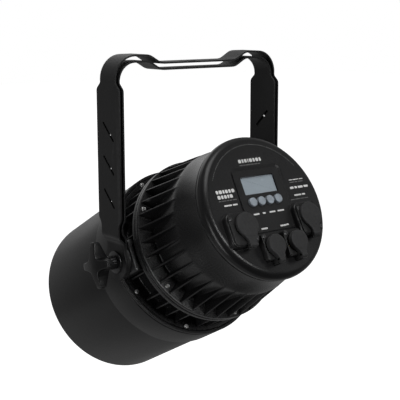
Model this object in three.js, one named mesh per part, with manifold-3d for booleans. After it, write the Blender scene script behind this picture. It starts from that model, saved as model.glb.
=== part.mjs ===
// A weatherproof LED par can on a double hanging yoke, in millimetres, +Z up.
// Row frame: origin at the clamp hole, on the top face of the outer bracket's dropped middle.
// X runs along the tilt axis, the beam leaves towards -Y and down, the control panel faces +Y.
// The head is modelled on its own axis: local X along the tilt axis, local +Y (called s) from the
// tilt axis towards the control panel, local +Z up, then turned by TILT_DEG about the tilt axis.
import * as THREE from 'three';
import { mergeVertices } from 'three/addons/utils/BufferGeometryUtils.js';
import Module from 'manifold-3d';

const wasm = await Module();
wasm.setup();

// ---- driving dimensions ----------------------------------------------------------------------
const TILT_DEG = 28.85;
const GAP = 0.3;
const SHELL_SIDES = 36;
const SMALL_SIDES = 16;

// yoke, heights measured from the tilt axis
const SHEET = 2.0;
const TOP_Z = 242.5;
const DROP = 9.7;
const PIVOT_DROP = TOP_Z - DROP;
const DROP_TOP_X = 73.5;
const DROP_FOOT_X = 56.7;
const NEST_Z = 7.2;
const OUTER_ARM_X = 121.0;
const OUTER_FOOT_X = 113.6;
const OUTER_CORNER_R = 27;
const OUTER_JOG = [25, 31.5];
const INNER_ARM_X = 115.8;
const INNER_FOOT_X = 111.2;
const INNER_CORNER_R = 22;
const INNER_JOG = [31, 36];
const ARM_WIDTH = 45.9;
const NECK_WIDTH = 30.4;
const FOOT_WIDTH = 35.0;
const FOOT_R = 21.5;
const FOOT_SHOULDER = [45.4, 53];
const TOP_SHOULDER = [203.7, 210.7];
const SLOT_Z = [155, 116, 77];
const SLOT_WIDTH = 3.0;
const SLOT_LENGTH = 29.8;
const CLAMP_HOLE_R = 6.5;
const STUD_R = 4.0;
const STUD_HOLE_R = 4.4;

// head, radii and stations along s
const TUBE_R = 105.3;
const TUBE_WALL = 1.2;
const TUBE_FRONT = -195;
const TUBE_REAR = -55.3;
const COLLAR_R = 107.2;
const COLLAR_FRONT = -55;
const COLLAR_REAR = -10;
const SPIGOT_FRONT = -72;
const FLANGE_R = 100.9;
const FLANGE_FRONT = 26;
const FLANGE_SPLIT = 32.9;
const FLANGE_REAR = 39.4;
const MID_CORE_R = 86;
const MID_FIN_R = 97;
const MID_FINS = 40;
const BELL_FINS = 36;
const FIN_WIDTH = 2.2;
const HOUSING_END = 140.4;
const CAP_START = 141.5;
const CAP_FACE = 156.3;
const CAP_R = 86.4;

// control panel, seen from behind the lamp, x and z in the head's own frame
const PANEL_RECESS = { w: 69.2, h: 75, z: 6.5, depth: 2, slope: 4 };
const WINDOW = { w: 49.7, h: 21.3, z: 25.5 };
const BUTTON_PITCH = 12.7;
const BUTTON_R = 5.25;
const BUTTON_Z = 5.2;
const BUTTON_PROUD = 3.0;

const POWER = {
  x: 49.5, z: -22, discR: 14.7, bore: 12.4, tailHalf: 5.6, tailEnd: -47, top: 13.6,
};
const BOSS = { z: -24.5, h: 40.5, r: 9, height: 7.2, bevel: 2 };
// the boss on the +X side is the wider one
const WIDE_BOSS = { x: 50.9, w: 38.8 };
const NARROW_BOSS = { x: -49.2, w: 35.4 };
const BOSS_PLATE = { margin: 2.4, h: 36, r: 5, thickness: 1.8 };
const DMX = {
  x: 16.3, z: -49.3, discR: 12, bore: 10.8, tailHalf: 3.9, tailEnd: -70.2, top: 14.1,
};
const DMX_FLANGE = { w: 26, h: 31, r: 3, height: 7.5 };
const SOCKET_DEPTH = 20;
const CONTACT = { count: 3, at: 4.5, r: 1.2, depth: 6 };
const DISPLAY_BOARD = { w: 66, h: 52, z: 18, s0: 143, s1: 144.6 };

// ---- small tools -----------------------------------------------------------------------------
const deg = THREE.MathUtils.degToRad;

function solid(geometry) {
  const bare = new THREE.BufferGeometry();
  bare.setAttribute('position', geometry.getAttribute('position'));
  if (geometry.index) {
    bare.setIndex(geometry.index);
  }
  const merged = mergeVertices(bare, 1e-3);
  const index = merged.index.array;
  const kept = [];
  for (let i = 0; i < index.length; i += 3) {
    const [a, b, c] = [index[i], index[i + 1], index[i + 2]];
    if (a !== b && b !== c && c !== a) {
      kept.push(a, b, c);
    }
  }
  return new wasm.Manifold(new wasm.Mesh({
    numProp: 3,
    vertProperties: new Float32Array(merged.getAttribute('position').array),
    triVerts: new Uint32Array(kept),
  }));
}

function geometryOf(body) {
  const mesh = body.getMesh();
  const geometry = new THREE.BufferGeometry();
  geometry.setAttribute('position', new THREE.BufferAttribute(mesh.vertProperties, 3));
  geometry.setIndex(new THREE.BufferAttribute(mesh.triVerts, 1));
  return geometry;
}

function joined(bodies) {
  return bodies.reduce((sum, body) => sum.add(body));
}

function cut(body, tools) {
  return tools.reduce((rest, tool) => rest.subtract(tool), body);
}

// a solid of revolution about the s axis; the profile is [radius, s], anticlockwise
function turned(profile, sides = SHELL_SIDES) {
  const points = profile.map(([r, s]) => new THREE.Vector2(r, s));
  if (profile[0][0] > 0) {
    points.push(points[0].clone());
  }
  return solid(new THREE.LatheGeometry(points, sides));
}

// a ring between two radii and two stations
function ring(r0, r1, s0, s1, sides = SHELL_SIDES) {
  return turned([[r0, s0], [r1, s0], [r1, s1], [r0, s1]], sides);
}

function disc(r, s0, s1, sides = SHELL_SIDES) {
  return turned([[0, s0], [r, s0], [r, s1], [0, s1]], sides);
}

// a round bar along s, X or Z between two stations, centred on the other two coordinates
function bar(axis, r, from, to, centre = [0, 0], sides = SMALL_SIDES) {
  const geometry = new THREE.CylinderGeometry(r, r, to - from, sides);
  const middle = (from + to) / 2;
  if (axis === 'x') {
    geometry.rotateZ(deg(90));
    geometry.translate(middle, centre[0], centre[1]);
  } else if (axis === 's') {
    geometry.translate(centre[0], middle, centre[1]);
  } else {
    geometry.rotateX(deg(90));
    geometry.translate(centre[0], centre[1], middle);
  }
  return solid(geometry);
}

function box(w, d, h, x, y, z, turn = null) {
  const geometry = new THREE.BoxGeometry(w, d, h);
  if (turn) {
    turn(geometry);
  }
  geometry.translate(x, y, z);
  return solid(geometry);
}

// a flat shape drawn in x and z, from station s0 to s1
function plate(shape, s0, s1, options = {}) {
  const geometry = new THREE.ExtrudeGeometry(shape, {
    depth: s1 - s0, bevelEnabled: false, curveSegments: 3, ...options,
  });
  geometry.rotateX(deg(90));
  geometry.translate(0, s1, 0);
  return solid(geometry);
}

// a flat shape drawn in y and z, from x0 to x1
function slab(shape, x0, x1) {
  const geometry = new THREE.ExtrudeGeometry(shape, {
    depth: x1 - x0, bevelEnabled: false, curveSegments: 7,
  });
  geometry.applyMatrix4(new THREE.Matrix4().makeBasis(
    new THREE.Vector3(0, 1, 0), new THREE.Vector3(0, 0, 1), new THREE.Vector3(1, 0, 0),
  ));
  geometry.translate(x0, 0, 0);
  return solid(geometry);
}

function roundRect(w, h, r, cx = 0, cz = 0) {
  const shape = new THREE.Shape();
  const x0 = cx - w / 2;
  const x1 = cx + w / 2;
  const z0 = cz - h / 2;
  const z1 = cz + h / 2;
  shape.moveTo(x0 + r, z0);
  shape.lineTo(x1 - r, z0);
  shape.absarc(x1 - r, z0 + r, r, -Math.PI / 2, 0);
  shape.lineTo(x1, z1 - r);
  shape.absarc(x1 - r, z1 - r, r, 0, Math.PI / 2);
  shape.lineTo(x0 + r, z1);
  shape.absarc(x0 + r, z1 - r, r, Math.PI / 2, Math.PI);
  shape.lineTo(x0, z0 + r);
  shape.absarc(x0 + r, z0 + r, r, Math.PI, 1.5 * Math.PI);
  return shape;
}

const PAINTS = {
  blackSteel: { color: 0x26262a, roughness: 0.5, metalness: 0.3 },
  blackCasting: { color: 0x242428, roughness: 0.55, metalness: 0.3 },
  blackPlastic: { color: 0x202022, roughness: 0.5, metalness: 0 },
  blackRubber: { color: 0x2a2b2d, roughness: 0.85, metalness: 0 },
  steel: { color: 0xc4c6c8, roughness: 0.35, metalness: 1 },
  clearGlass: { color: 0xdfe8ea, roughness: 0.05, metalness: 0, transparent: true, opacity: 0.35 },
  clearAcrylic: { color: 0xe6eef0, roughness: 0.1, metalness: 0, transparent: true, opacity: 0.5 },
  whiteBoard: { color: 0xe9ebe8, roughness: 0.5, metalness: 0 },
  greenBoard: { color: 0x1f5a3a, roughness: 0.5, metalness: 0 },
  bareMetal: { color: 0xa9adb0, roughness: 0.45, metalness: 0.9 },
  greyBlue: { color: 0x8f9aa6, roughness: 0.5, metalness: 0 },
};

function add(group, name, body, paint) {
  const mesh = new THREE.Mesh(geometryOf(body), new THREE.MeshStandardMaterial(PAINTS[paint]));
  mesh.name = name;
  group.add(mesh);
}

// ---- yoke ------------------------------------------------------------------------------------
// centre line of one bracket's sheet in x and z, from the right foot over the top to the left foot
function bracketLine(armX, footX, jog, topZ, cornerR) {
  const half = [[footX, -FOOT_R - 5], [footX, jog[0]], [armX, jog[1]]];
  const steps = 6;
  for (let i = 0; i <= steps; i += 1) {
    const a = (Math.PI / 2) * (i / steps);
    half.push([armX - cornerR + cornerR * Math.cos(a), topZ - cornerR + cornerR * Math.sin(a)]);
  }
  half.push([DROP_TOP_X, topZ], [DROP_FOOT_X, topZ - DROP]);
  const mirrored = half.map(([x, z]) => [-x, z]).reverse();
  return half.concat(mirrored);
}

// the outline of a sheet of even thickness on both sides of a line
function ribbon(line, thickness) {
  const left = [];
  const right = [];
  line.forEach(([x, z], i) => {
    const before = line[Math.max(i - 1, 0)];
    const after = line[Math.min(i + 1, line.length - 1)];
    const into = new THREE.Vector2(x - before[0], z - before[1]).normalize();
    const out = new THREE.Vector2(after[0] - x, after[1] - z).normalize();
    const along = into.clone().add(out).normalize();
    const straight = i === 0 ? out : into;
    const stretch = (thickness / 2) / along.dot(straight);
    left.push(new THREE.Vector2(x - along.y * stretch, z + along.x * stretch));
    right.push(new THREE.Vector2(x + along.y * stretch, z - along.x * stretch));
  });
  return new THREE.Shape(right.concat(left.reverse()));
}

// the bracket's silhouette from the side: round foot, neck, full-width arm, narrow top
function armOutline() {
  const foot = FOOT_WIDTH / 2;
  const arm = ARM_WIDTH / 2;
  const neck = NECK_WIDTH / 2;
  const footAngle = Math.acos(foot / FOOT_R);
  const shape = new THREE.Shape();
  shape.moveTo(foot, FOOT_SHOULDER[0]);
  shape.lineTo(arm, FOOT_SHOULDER[1]);
  shape.lineTo(arm, TOP_SHOULDER[0]);
  shape.lineTo(neck, TOP_SHOULDER[1]);
  shape.lineTo(neck, TOP_Z + 5);
  shape.lineTo(-neck, TOP_Z + 5);
  shape.lineTo(-neck, TOP_SHOULDER[1]);
  shape.lineTo(-arm, TOP_SHOULDER[0]);
  shape.lineTo(-arm, FOOT_SHOULDER[1]);
  shape.lineTo(-foot, FOOT_SHOULDER[0]);
  shape.absarc(0, 0, FOOT_R, Math.PI - footAngle, 2 * Math.PI + footAngle);
  return shape;
}

// slotSlant is 1 where the slots rise towards +Y and -1 where they fall
function bracket(armX, footX, jog, topZ, cornerR, slotSlant) {
  const line = bracketLine(armX, footX, jog, topZ, cornerR);
  const sheet = plate(ribbon(line, SHEET), -ARM_WIDTH, ARM_WIDTH, { curveSegments: 1 });
  const reach = OUTER_ARM_X + 20;
  const trimmed = sheet.intersect(slab(armOutline(), -reach, reach));
  const slots = SLOT_Z.map((z) => box(2 * reach, SLOT_LENGTH, SLOT_WIDTH, 0, 0, z,
    (geometry) => geometry.rotateX(deg(45 * slotSlant))));
  const pivotHole = bar('x', STUD_HOLE_R, -reach, reach);
  const clampHole = bar('z', CLAMP_HOLE_R, topZ - DROP - 10, topZ + 10, [0, 0], 24);
  return cut(trimmed, [...slots, pivotHole, clampHole]);
}

function buildYoke(group) {
  const outerTop = TOP_Z - SHEET / 2;
  add(group, 'outer_bracket', bracket(
    OUTER_ARM_X, OUTER_FOOT_X, OUTER_JOG, outerTop, OUTER_CORNER_R, -1,
  ), 'blackSteel');
  add(group, 'inner_bracket', bracket(
    INNER_ARM_X, INNER_FOOT_X, INNER_JOG, outerTop - NEST_Z, INNER_CORNER_R, 1,
  ), 'blackSteel');
}

// ---- clamping knobs, one at each end of the tilt axis --------------------------------------------
const PAD = { r: 20, x0: 107.3, x1: 109.9 };
const WASHER = { r: 13.3, x0: 114.9, x1: 116.7 };
const STUD_X = [96, 141];
const KNOB = { hubR: 8.6, hub0: 117, back: 131.5, front: 144, crownR: 12, crown: 147.4 };
const KNOB_TURN_DEG = 15.5;
// one flank of a lobe, [along, across], from the waist between two lobes out to the tip
const LOBE_WAIST = [8.1, -8.1];
const LOBE_FLANK = [[12.5, 6], [17, 5.2], [25.5, 4.4], [27.5, 2.6]];

// four-lobed outline drawn in y and z
function knobOutline() {
  const outward = LOBE_FLANK.map(([along, across]) => [along, -across]);
  const lobe = [LOBE_WAIST, ...outward, ...LOBE_FLANK.slice().reverse()];
  const points = [];
  for (let k = 0; k < 4; k += 1) {
    const turn = deg(KNOB_TURN_DEG + 90 * k);
    lobe.forEach(([along, across]) => points.push(new THREE.Vector2(
      along * Math.cos(turn) - across * Math.sin(turn),
      along * Math.sin(turn) + across * Math.cos(turn),
    )));
  }
  return new THREE.Shape(points);
}

function mirrorX(body) {
  const geometry = geometryOf(body);
  geometry.rotateZ(Math.PI);
  return solid(geometry);
}

function buildPivotHardware(group) {
  const sets = {
    pivot_pad: [cut(bar('x', PAD.r, PAD.x0, PAD.x1, [0, 0], 32),
      [bar('x', STUD_HOLE_R, PAD.x0 - 1, PAD.x1 + 1)]), 'blackRubber'],
    pivot_stud: [bar('x', STUD_R, STUD_X[0], STUD_X[1]), 'steel'],
    washer: [cut(bar('x', WASHER.r, WASHER.x0, WASHER.x1, [0, 0], 28),
      [bar('x', STUD_HOLE_R, WASHER.x0 - 1, WASHER.x1 + 1)]), 'steel'],
    knob: [cut(joined([
      bar('x', KNOB.hubR, KNOB.hub0, KNOB.back + 1),
      slab(knobOutline(), KNOB.back, KNOB.front),
      bar('x', KNOB.crownR, KNOB.back, KNOB.crown),
    ]), [bar('x', STUD_HOLE_R, KNOB.hub0 - 1, STUD_X[1] + 1)]), 'blackPlastic'],
  };
  Object.entries(sets).forEach(([name, [body, paint]]) => {
    add(group, `${name}_near`, body, paint);
    add(group, `${name}_far`, mirrorX(body), paint);
  });
}

// ---- head shells -----------------------------------------------------------------------------
function frontTube() {
  const inner = TUBE_R - TUBE_WALL;
  const hem = TUBE_R - 3.2;
  return turned([
    [hem, TUBE_FRONT + 0.8], [hem + 0.8, TUBE_FRONT], [TUBE_R, TUBE_FRONT],
    [TUBE_R, TUBE_REAR], [inner, TUBE_REAR], [inner, TUBE_FRONT + 4], [hem, TUBE_FRONT + 3.2],
  ]);
}

const GLASS_LEDGE = { r: 97, front: -57, rear: -53 };
const COLLAR_BORE = 103.7;

function collar() {
  return turned([
    [101.2, SPIGOT_FRONT], [103.7, SPIGOT_FRONT], [103.7, COLLAR_FRONT],
    [COLLAR_R, COLLAR_FRONT], [COLLAR_R, COLLAR_REAR], [COLLAR_BORE, COLLAR_REAR],
    [COLLAR_BORE, GLASS_LEDGE.rear], [GLASS_LEDGE.r, GLASS_LEDGE.rear],
    [GLASS_LEDGE.r, GLASS_LEDGE.front], [101.2, GLASS_LEDGE.front],
  ]);
}

// one straight fin standing on the head at an angle, its outer edge given as [radius, s] points
function fin(edge, rootR, angleDeg) {
  const shape = new THREE.Shape();
  shape.moveTo(rootR, edge[0][1]);
  edge.forEach(([r, s]) => shape.lineTo(r, s));
  shape.lineTo(rootR, edge[edge.length - 1][1]);
  const geometry = new THREE.ExtrudeGeometry(shape, { depth: FIN_WIDTH, bevelEnabled: false });
  geometry.translate(0, 0, -FIN_WIDTH / 2);
  geometry.rotateY(deg(-angleDeg));
  return solid(geometry);
}

const SCREW = { count: 6, first: 30, at: 95.5, headR: 3.3, headH: 3, shankR: 1.9, holeR: 2.3 };
const HOUSING_FACE = -18;
const HOUSING_DISC_R = 102.8;
const MID_BORE_R = 80;

function around(count, first, radius) {
  return Array.from({ length: count }, (_, i) => {
    const a = deg(first + (360 / count) * i);
    return [radius * Math.cos(a), radius * Math.sin(a)];
  });
}

function screwHoles(s0, s1) {
  return around(SCREW.count, SCREW.first, SCREW.at)
    .map((centre) => bar('s', SCREW.holeR, s0, s1, centre, 10));
}

// angles at which a fin is left out, for the pivot blocks and the collar screws
function finMissing(angle) {
  const nearPivot = Math.abs(((angle + 90) % 180) - 90) < 16;
  const atScrew = Math.abs(((angle + 45) % 45) - 22.5) < 1;
  return nearPivot || atScrew;
}

const PIVOT_BLOCK = { x: 92, w: 26, d: 31, h: 39, s: 6.5 };
const PIVOT_BOSS_X = [100, 107];

function pivotBlock(side) {
  const block = box(PIVOT_BLOCK.w, PIVOT_BLOCK.d, PIVOT_BLOCK.h, side * PIVOT_BLOCK.x, PIVOT_BLOCK.s, 0);
  const [from, to] = PIVOT_BOSS_X.map((x) => side * x).sort((a, b) => a - b);
  const boss = bar('x', PAD.r - 1, from, to, [0, 0], 32);
  const depth = 30;
  const collarSide = box(60, depth, 60, side * PIVOT_BOSS_X[0], COLLAR_REAR + 0.4 - depth / 2, 0);
  return block.add(boss).subtract(collarSide);
}

function frontHousing() {
  const core = turned([
    [0, HOUSING_FACE], [HOUSING_DISC_R, HOUSING_FACE], [HOUSING_DISC_R, COLLAR_REAR],
    [MID_CORE_R, COLLAR_REAR], [MID_CORE_R, FLANGE_FRONT], [FLANGE_R, FLANGE_FRONT],
    [FLANGE_R, FLANGE_SPLIT - 0.6], [MID_BORE_R, FLANGE_SPLIT - 0.6], [MID_BORE_R, COLLAR_REAR + 2],
    [0, COLLAR_REAR + 2],
  ], MID_FINS);
  const edge = [
    [MID_FIN_R - 4, COLLAR_REAR - 1], [MID_FIN_R, COLLAR_REAR + 3], [MID_FIN_R, FLANGE_FRONT + 1],
  ];
  const fins = [];
  for (let i = 0; i < MID_FINS; i += 1) {
    const angle = (360 / MID_FINS) * (i + 0.5);
    if (!finMissing(angle)) {
      fins.push(fin(edge, MID_CORE_R - 3, angle));
    }
  }
  const blocks = [pivotBlock(1), pivotBlock(-1)];
  const studHole = bar('x', STUD_HOLE_R, -130, 130);
  const inside = disc(MID_BORE_R, COLLAR_REAR + 2, FLANGE_SPLIT + 5, MID_FINS);
  const whole = joined([core, ...fins, ...blocks.map((block) => block.subtract(inside))]);
  return cut(whole, [
    studHole.subtract(box(180, 40, 40, 0, 0, 0)),
    ...screwHoles(FLANGE_FRONT - 2, FLANGE_SPLIT + 1),
  ]);
}

const HOUSING_BORE = [[76.5, 30], [76.5, 46], [85, 101], [81.5, 128]];

function rearHousing() {
  const core = turned([
    [76.5, FLANGE_SPLIT + 0.6], [FLANGE_R, FLANGE_SPLIT + 0.6], [FLANGE_R, FLANGE_REAR],
    [80, FLANGE_REAR], [80, 45.5], [84, 47.2], [89, 101], [85.8, 119], [85, 128],
    [85.3, HOUSING_END], [82, HOUSING_END], ...HOUSING_BORE.slice(1).reverse(),
  ]);
  const edge = [[95.6, FLANGE_REAR - 1], [94.6, 66], [91.4, 90], [88.7, 102.5]];
  const fins = [];
  for (let i = 0; i < BELL_FINS; i += 1) {
    fins.push(fin(edge, 79, (360 / BELL_FINS) * (i + 0.5)));
  }
  const bore = turned([[0, 30], ...HOUSING_BORE, [0, 128]]);
  return cut(joined([core, ...fins.map((f) => f.subtract(bore))]),
    screwHoles(FLANGE_SPLIT - 1, FLANGE_REAR + 4));
}

// ---- control panel -----------------------------------------------------------------------------
const buttonX = [1.5, 0.5, -0.5, -1.5].map((k) => k * BUTTON_PITCH);

function rearCap() {
  const wall = 3.5;
  const shell = turned([
    [0, CAP_FACE - wall], [81, CAP_FACE - wall], [82, CAP_START], [85.6, CAP_START],
    [CAP_R, CAP_START + 4], [85.2, CAP_FACE - 4.6], [81.5, CAP_FACE - 1], [76.5, CAP_FACE],
    [0, CAP_FACE],
  ]);
  const recess = PANEL_RECESS;
  const pocket = plate(
    roundRect(recess.w + 2 * recess.slope, recess.h + 2 * recess.slope, 6, 0, recess.z),
    CAP_FACE, CAP_FACE + 6,
    { bevelEnabled: true, bevelThickness: recess.depth, bevelSize: recess.slope,
      bevelOffset: -recess.slope, bevelSegments: 1 },
  );
  const window = plate(roundRect(WINDOW.w + 0.6, WINDOW.h + 0.6, 1, 0, WINDOW.z),
    CAP_FACE - 10, CAP_FACE + 1);
  const buttonHoles = buttonX.map((x) => bar('s', BUTTON_R + 0.4, CAP_FACE - 10, CAP_FACE + 1,
    [x, BUTTON_Z], 12));
  const bores = [POWER, DMX].flatMap((port) => [1, -1].map((side) => bar('s', port.bore,
    CAP_FACE - 10, CAP_FACE + 20, [side * port.x, port.z], 16)));
  return cut(shell, [pocket, window, ...buttonHoles, ...bores]);
}

function controlOverlay() {
  const floor = CAP_FACE - PANEL_RECESS.depth + GAP;
  const sheet = plate(roundRect(PANEL_RECESS.w - 0.8, PANEL_RECESS.h - 0.8, 2, 0, PANEL_RECESS.z),
    floor, floor + 0.7);
  const window = plate(roundRect(WINDOW.w, WINDOW.h, 1, 0, WINDOW.z), floor - 1, floor + 2);
  const holes = buttonX.map((x) => bar('s', BUTTON_R + 0.4, floor - 1, floor + 2,
    [x, BUTTON_Z], 12));
  const dmxClear = [1, -1].map((side) => plate(roundRect(DMX_FLANGE.w + 0.6, DMX_FLANGE.h + 0.6, 3,
    side * DMX.x, DMX.z), floor - 1, floor + 2));
  return cut(sheet, [window, ...holes, ...dmxClear]);
}

function displayModule() {
  const { w, h, z, s0, s1 } = DISPLAY_BOARD;
  const board = plate(roundRect(w, h, 2, 0, z), s0, s1);
  const screen = plate(roundRect(WINDOW.w - 0.3, WINDOW.h - 0.3, 0.8, 0, WINDOW.z), 144, CAP_FACE - 2.3);
  return board.add(screen);
}

function button(x) {
  const cap = bar('s', BUTTON_R, CAP_FACE - 6, CAP_FACE + BUTTON_PROUD, [x, BUTTON_Z], 12);
  const stem = bar('s', 2, 146, CAP_FACE - 5, [x, BUTTON_Z], 8);
  return cap.add(stem);
}

// a sealing cap: round disc and a tapering strap down to a rounded hinge end
function portCap(port, side, bottom) {
  const top = CAP_FACE + port.top;
  const half = (top - bottom) / 2;
  const hingeZ = port.tailEnd + half;
  const x = side * port.x;
  const round = bar('s', port.discR, bottom, top, [x, port.z], 20);
  const strap = new THREE.Shape([
    new THREE.Vector2(x - port.discR * 0.8, port.z - port.discR * 0.5),
    new THREE.Vector2(x - port.tailHalf, hingeZ),
    new THREE.Vector2(x + port.tailHalf, hingeZ),
    new THREE.Vector2(x + port.discR * 0.8, port.z - port.discR * 0.5),
  ]);
  const end = bar('x', half, x - port.tailHalf, x + port.tailHalf, [bottom + half, hingeZ], 12);
  return joined([round, plate(strap, bottom, top), end]);
}

const PLATE_TOP = CAP_FACE + BOSS.height + BOSS_PLATE.thickness;
const FLANGE_TOP = CAP_FACE + DMX_FLANGE.height;

// raised boss with its flange plate, and a strap anchor that reaches down below the boss
function powerFlange(side) {
  const x = side * POWER.x;
  const span = side > 0 ? WIDE_BOSS : NARROW_BOSS;
  const bossTop = CAP_FACE + BOSS.height;
  const { bevel } = BOSS;
  const boss = plate(
    roundRect(span.w, BOSS.h, BOSS.r, span.x, BOSS.z), CAP_FACE + GAP + bevel, bossTop - bevel,
    { bevelEnabled: true, bevelThickness: bevel, bevelSize: bevel, bevelOffset: -bevel, bevelSegments: 1 },
  );
  const sheetWidth = span.w - 2 * BOSS_PLATE.margin;
  const sheet = plate(roundRect(sheetWidth, BOSS_PLATE.h, BOSS_PLATE.r, span.x, BOSS.z),
    bossTop - 1, PLATE_TOP);
  const bossFoot = BOSS.z - BOSS.h / 2;
  const anchorHigh = bossFoot + 4;
  const anchorLow = POWER.tailEnd + 0.2;
  const anchor = box(2 * POWER.tailHalf, PLATE_TOP - CAP_FACE - GAP, anchorHigh - anchorLow,
    x, (PLATE_TOP + CAP_FACE + GAP) / 2, (anchorHigh + anchorLow) / 2);
  return cut(joined([boss, sheet, anchor]),
    [bar('s', POWER.bore, CAP_FACE - 5, PLATE_TOP + 5, [x, POWER.z], 16)]);
}

function dmxFlange(side) {
  const x = side * DMX.x;
  const block = plate(roundRect(DMX_FLANGE.w, DMX_FLANGE.h, DMX_FLANGE.r, x, DMX.z),
    CAP_FACE + GAP, FLANGE_TOP);
  const low = DMX.tailEnd + 0.2;
  const high = DMX.z - DMX_FLANGE.h / 2 + 2;
  const anchor = box(2 * DMX.tailHalf, FLANGE_TOP - CAP_FACE - GAP, high - low,
    x, (FLANGE_TOP + CAP_FACE + GAP) / 2, (high + low) / 2);
  return cut(block.add(anchor),
    [bar('s', DMX.bore, CAP_FACE - 5, FLANGE_TOP + 5, [x, DMX.z], 16)]);
}

// the connector barrel behind the panel, with its contact face flush with the panel
function socket(port, side) {
  const centre = [side * port.x, port.z];
  const barrel = bar('s', port.bore - 0.4, CAP_FACE - SOCKET_DEPTH, CAP_FACE - 0.5, centre, 16);
  const holes = around(CONTACT.count, 90, CONTACT.at).map(([dx, dz]) => bar('s', CONTACT.r,
    CAP_FACE - CONTACT.depth, CAP_FACE + 1, [centre[0] + dx, centre[1] + dz], 8));
  return cut(barrel, holes);
}

function buildPorts(group) {
  const ports = { power_out: [POWER, 1], power_in: [POWER, -1], dmx_in: [DMX, 1], dmx_out: [DMX, -1] };
  Object.entries(ports).forEach(([name, [port, side]]) => {
    const isPower = port === POWER;
    const bottom = (isPower ? PLATE_TOP : FLANGE_TOP) + GAP;
    add(group, `${name}_flange`, isPower ? powerFlange(side) : dmxFlange(side), 'blackRubber');
    add(group, `${name}_socket`, socket(port, side), 'blackPlastic');
    add(group, `${name}_cap`, portCap(port, side, bottom), 'blackRubber');
  });
}

// ---- optics ----------------------------------------------------------------------------------
const LENS = { frontR: 17.4, rearR: 6, front: -46, rear: -23.5 };
const LENS_PLATE = { r: 94, s0: -45.5, s1: -43 };
const GLASS = { r: 100.6, s0: -63.1, s1: -59.1 };
const GLASS_RING = { r0: 95.5, r1: 100.8, s0: -66.4, s1: -63.4 };
const GLASS_SEAL = { r0: 97.5, r1: 100.7, s0: -58.8 };
const LED = { r: 3.5, front: -22, boardR: 93, boardThickness: 1.8 };
const lensSpots = [...around(9, 90, 69), ...around(3, 90, 25.5)];

function lens([x, z]) {
  const body = turned([
    [0, LENS.front], [LENS.frontR, LENS.front], [LENS.frontR, LENS.front + 2],
    [LENS.rearR, LENS.rear], [0, LENS.rear],
  ], 12);
  const geometry = geometryOf(body);
  geometry.translate(x, 0, z);
  return solid(geometry);
}

function buildOptics(group) {
  const sealRear = GLASS_LEDGE.front - GAP;
  add(group, 'glass_gasket', ring(GLASS_SEAL.r0, GLASS_SEAL.r1, GLASS_SEAL.s0, sealRear), 'blackRubber');
  add(group, 'front_glass', disc(GLASS.r, GLASS.s0, GLASS.s1), 'clearGlass');
  add(group, 'glass_ring', ring(GLASS_RING.r0, GLASS_RING.r1, GLASS_RING.s0, GLASS_RING.s1), 'blackSteel');
  const holes = lensSpots.map((spot) => bar('s', LENS.frontR + 0.4, LENS_PLATE.s0 - 2, LENS_PLATE.s1 + 2,
    spot, 12));
  add(group, 'lens_plate', cut(disc(LENS_PLATE.r, LENS_PLATE.s0, LENS_PLATE.s1), holes), 'blackPlastic');
  lensSpots.forEach((spot, i) => add(group, `lens_${i + 1}`, lens(spot), 'clearAcrylic'));
  const boardRear = HOUSING_FACE - GAP;
  const leds = lensSpots.map((spot) => bar('s', LED.r, LED.front, boardRear - 1, spot, 8));
  const board = disc(LED.boardR, boardRear - LED.boardThickness, boardRear);
  add(group, 'led_board', joined([board, ...leds]), 'whiteBoard');
}

// ---- what the housing holds --------------------------------------------------------------------
const SUPPLY = { w: 112, d: 62, h: 40, s: 78, z: -20 };
const DRIVER = { r: 68, s0: 10, s1: 12, blockDepth: 9 };
// components on the driver board, [x, z, side]
const DRIVER_BLOCKS = [[-30, 20, 12], [0, 26, 16], [30, 18, 10], [-12, -34, 14], [26, -30, 12]];

function buildInside(group) {
  add(group, 'power_supply', box(SUPPLY.w, SUPPLY.d, SUPPLY.h, 0, SUPPLY.s, SUPPLY.z), 'bareMetal');
  const blockMiddle = DRIVER.s1 - 0.5 + DRIVER.blockDepth / 2;
  const blocks = DRIVER_BLOCKS.map(([x, z, size]) => box(size, DRIVER.blockDepth, size, x, blockMiddle, z));
  add(group, 'driver_board', joined([disc(DRIVER.r, DRIVER.s0, DRIVER.s1), ...blocks]), 'greenBoard');
}

// ---- assembly --------------------------------------------------------------------------------
const lamp = new THREE.Group();
const pivot = new THREE.Group();
pivot.position.set(0, 0, -PIVOT_DROP);
lamp.add(pivot);
buildYoke(pivot);

const head = new THREE.Group();
head.rotation.x = deg(TILT_DEG);
pivot.add(head);
buildPivotHardware(pivot);
add(head, 'front_tube', frontTube(), 'blackSteel');
add(head, 'collar', collar(), 'blackSteel');
add(head, 'front_housing', frontHousing(), 'blackCasting');
add(head, 'rear_housing', rearHousing(), 'blackCasting');
add(head, 'flange_gasket', ring(82.5, 91.5, FLANGE_SPLIT - 0.3, FLANGE_SPLIT + 0.3), 'blackRubber');
add(head, 'cap_gasket', ring(82.4, 85, HOUSING_END + 0.3, CAP_START - 0.3), 'blackRubber');
add(head, 'rear_cap', rearCap(), 'blackCasting');
add(head, 'control_overlay', controlOverlay(), 'blackPlastic');
add(head, 'display_module', displayModule(), 'greyBlue');
buttonX.forEach((x, i) => add(head, `button_${i + 1}`, button(x), 'greyBlue'));
buildPorts(head);
buildOptics(head);
buildInside(head);
around(SCREW.count, SCREW.first, SCREW.at).forEach((centre, i) => {
  const top = FLANGE_REAR + GAP;
  const headPart = bar('s', SCREW.headR, top, top + SCREW.headH, centre, 12);
  const shank = bar('s', SCREW.shankR, FLANGE_FRONT + 1, top + 1, centre, 8);
  add(head, `ring_screw_${i + 1}`, headPart.add(shank), 'steel');
});

export default lamp;
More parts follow.
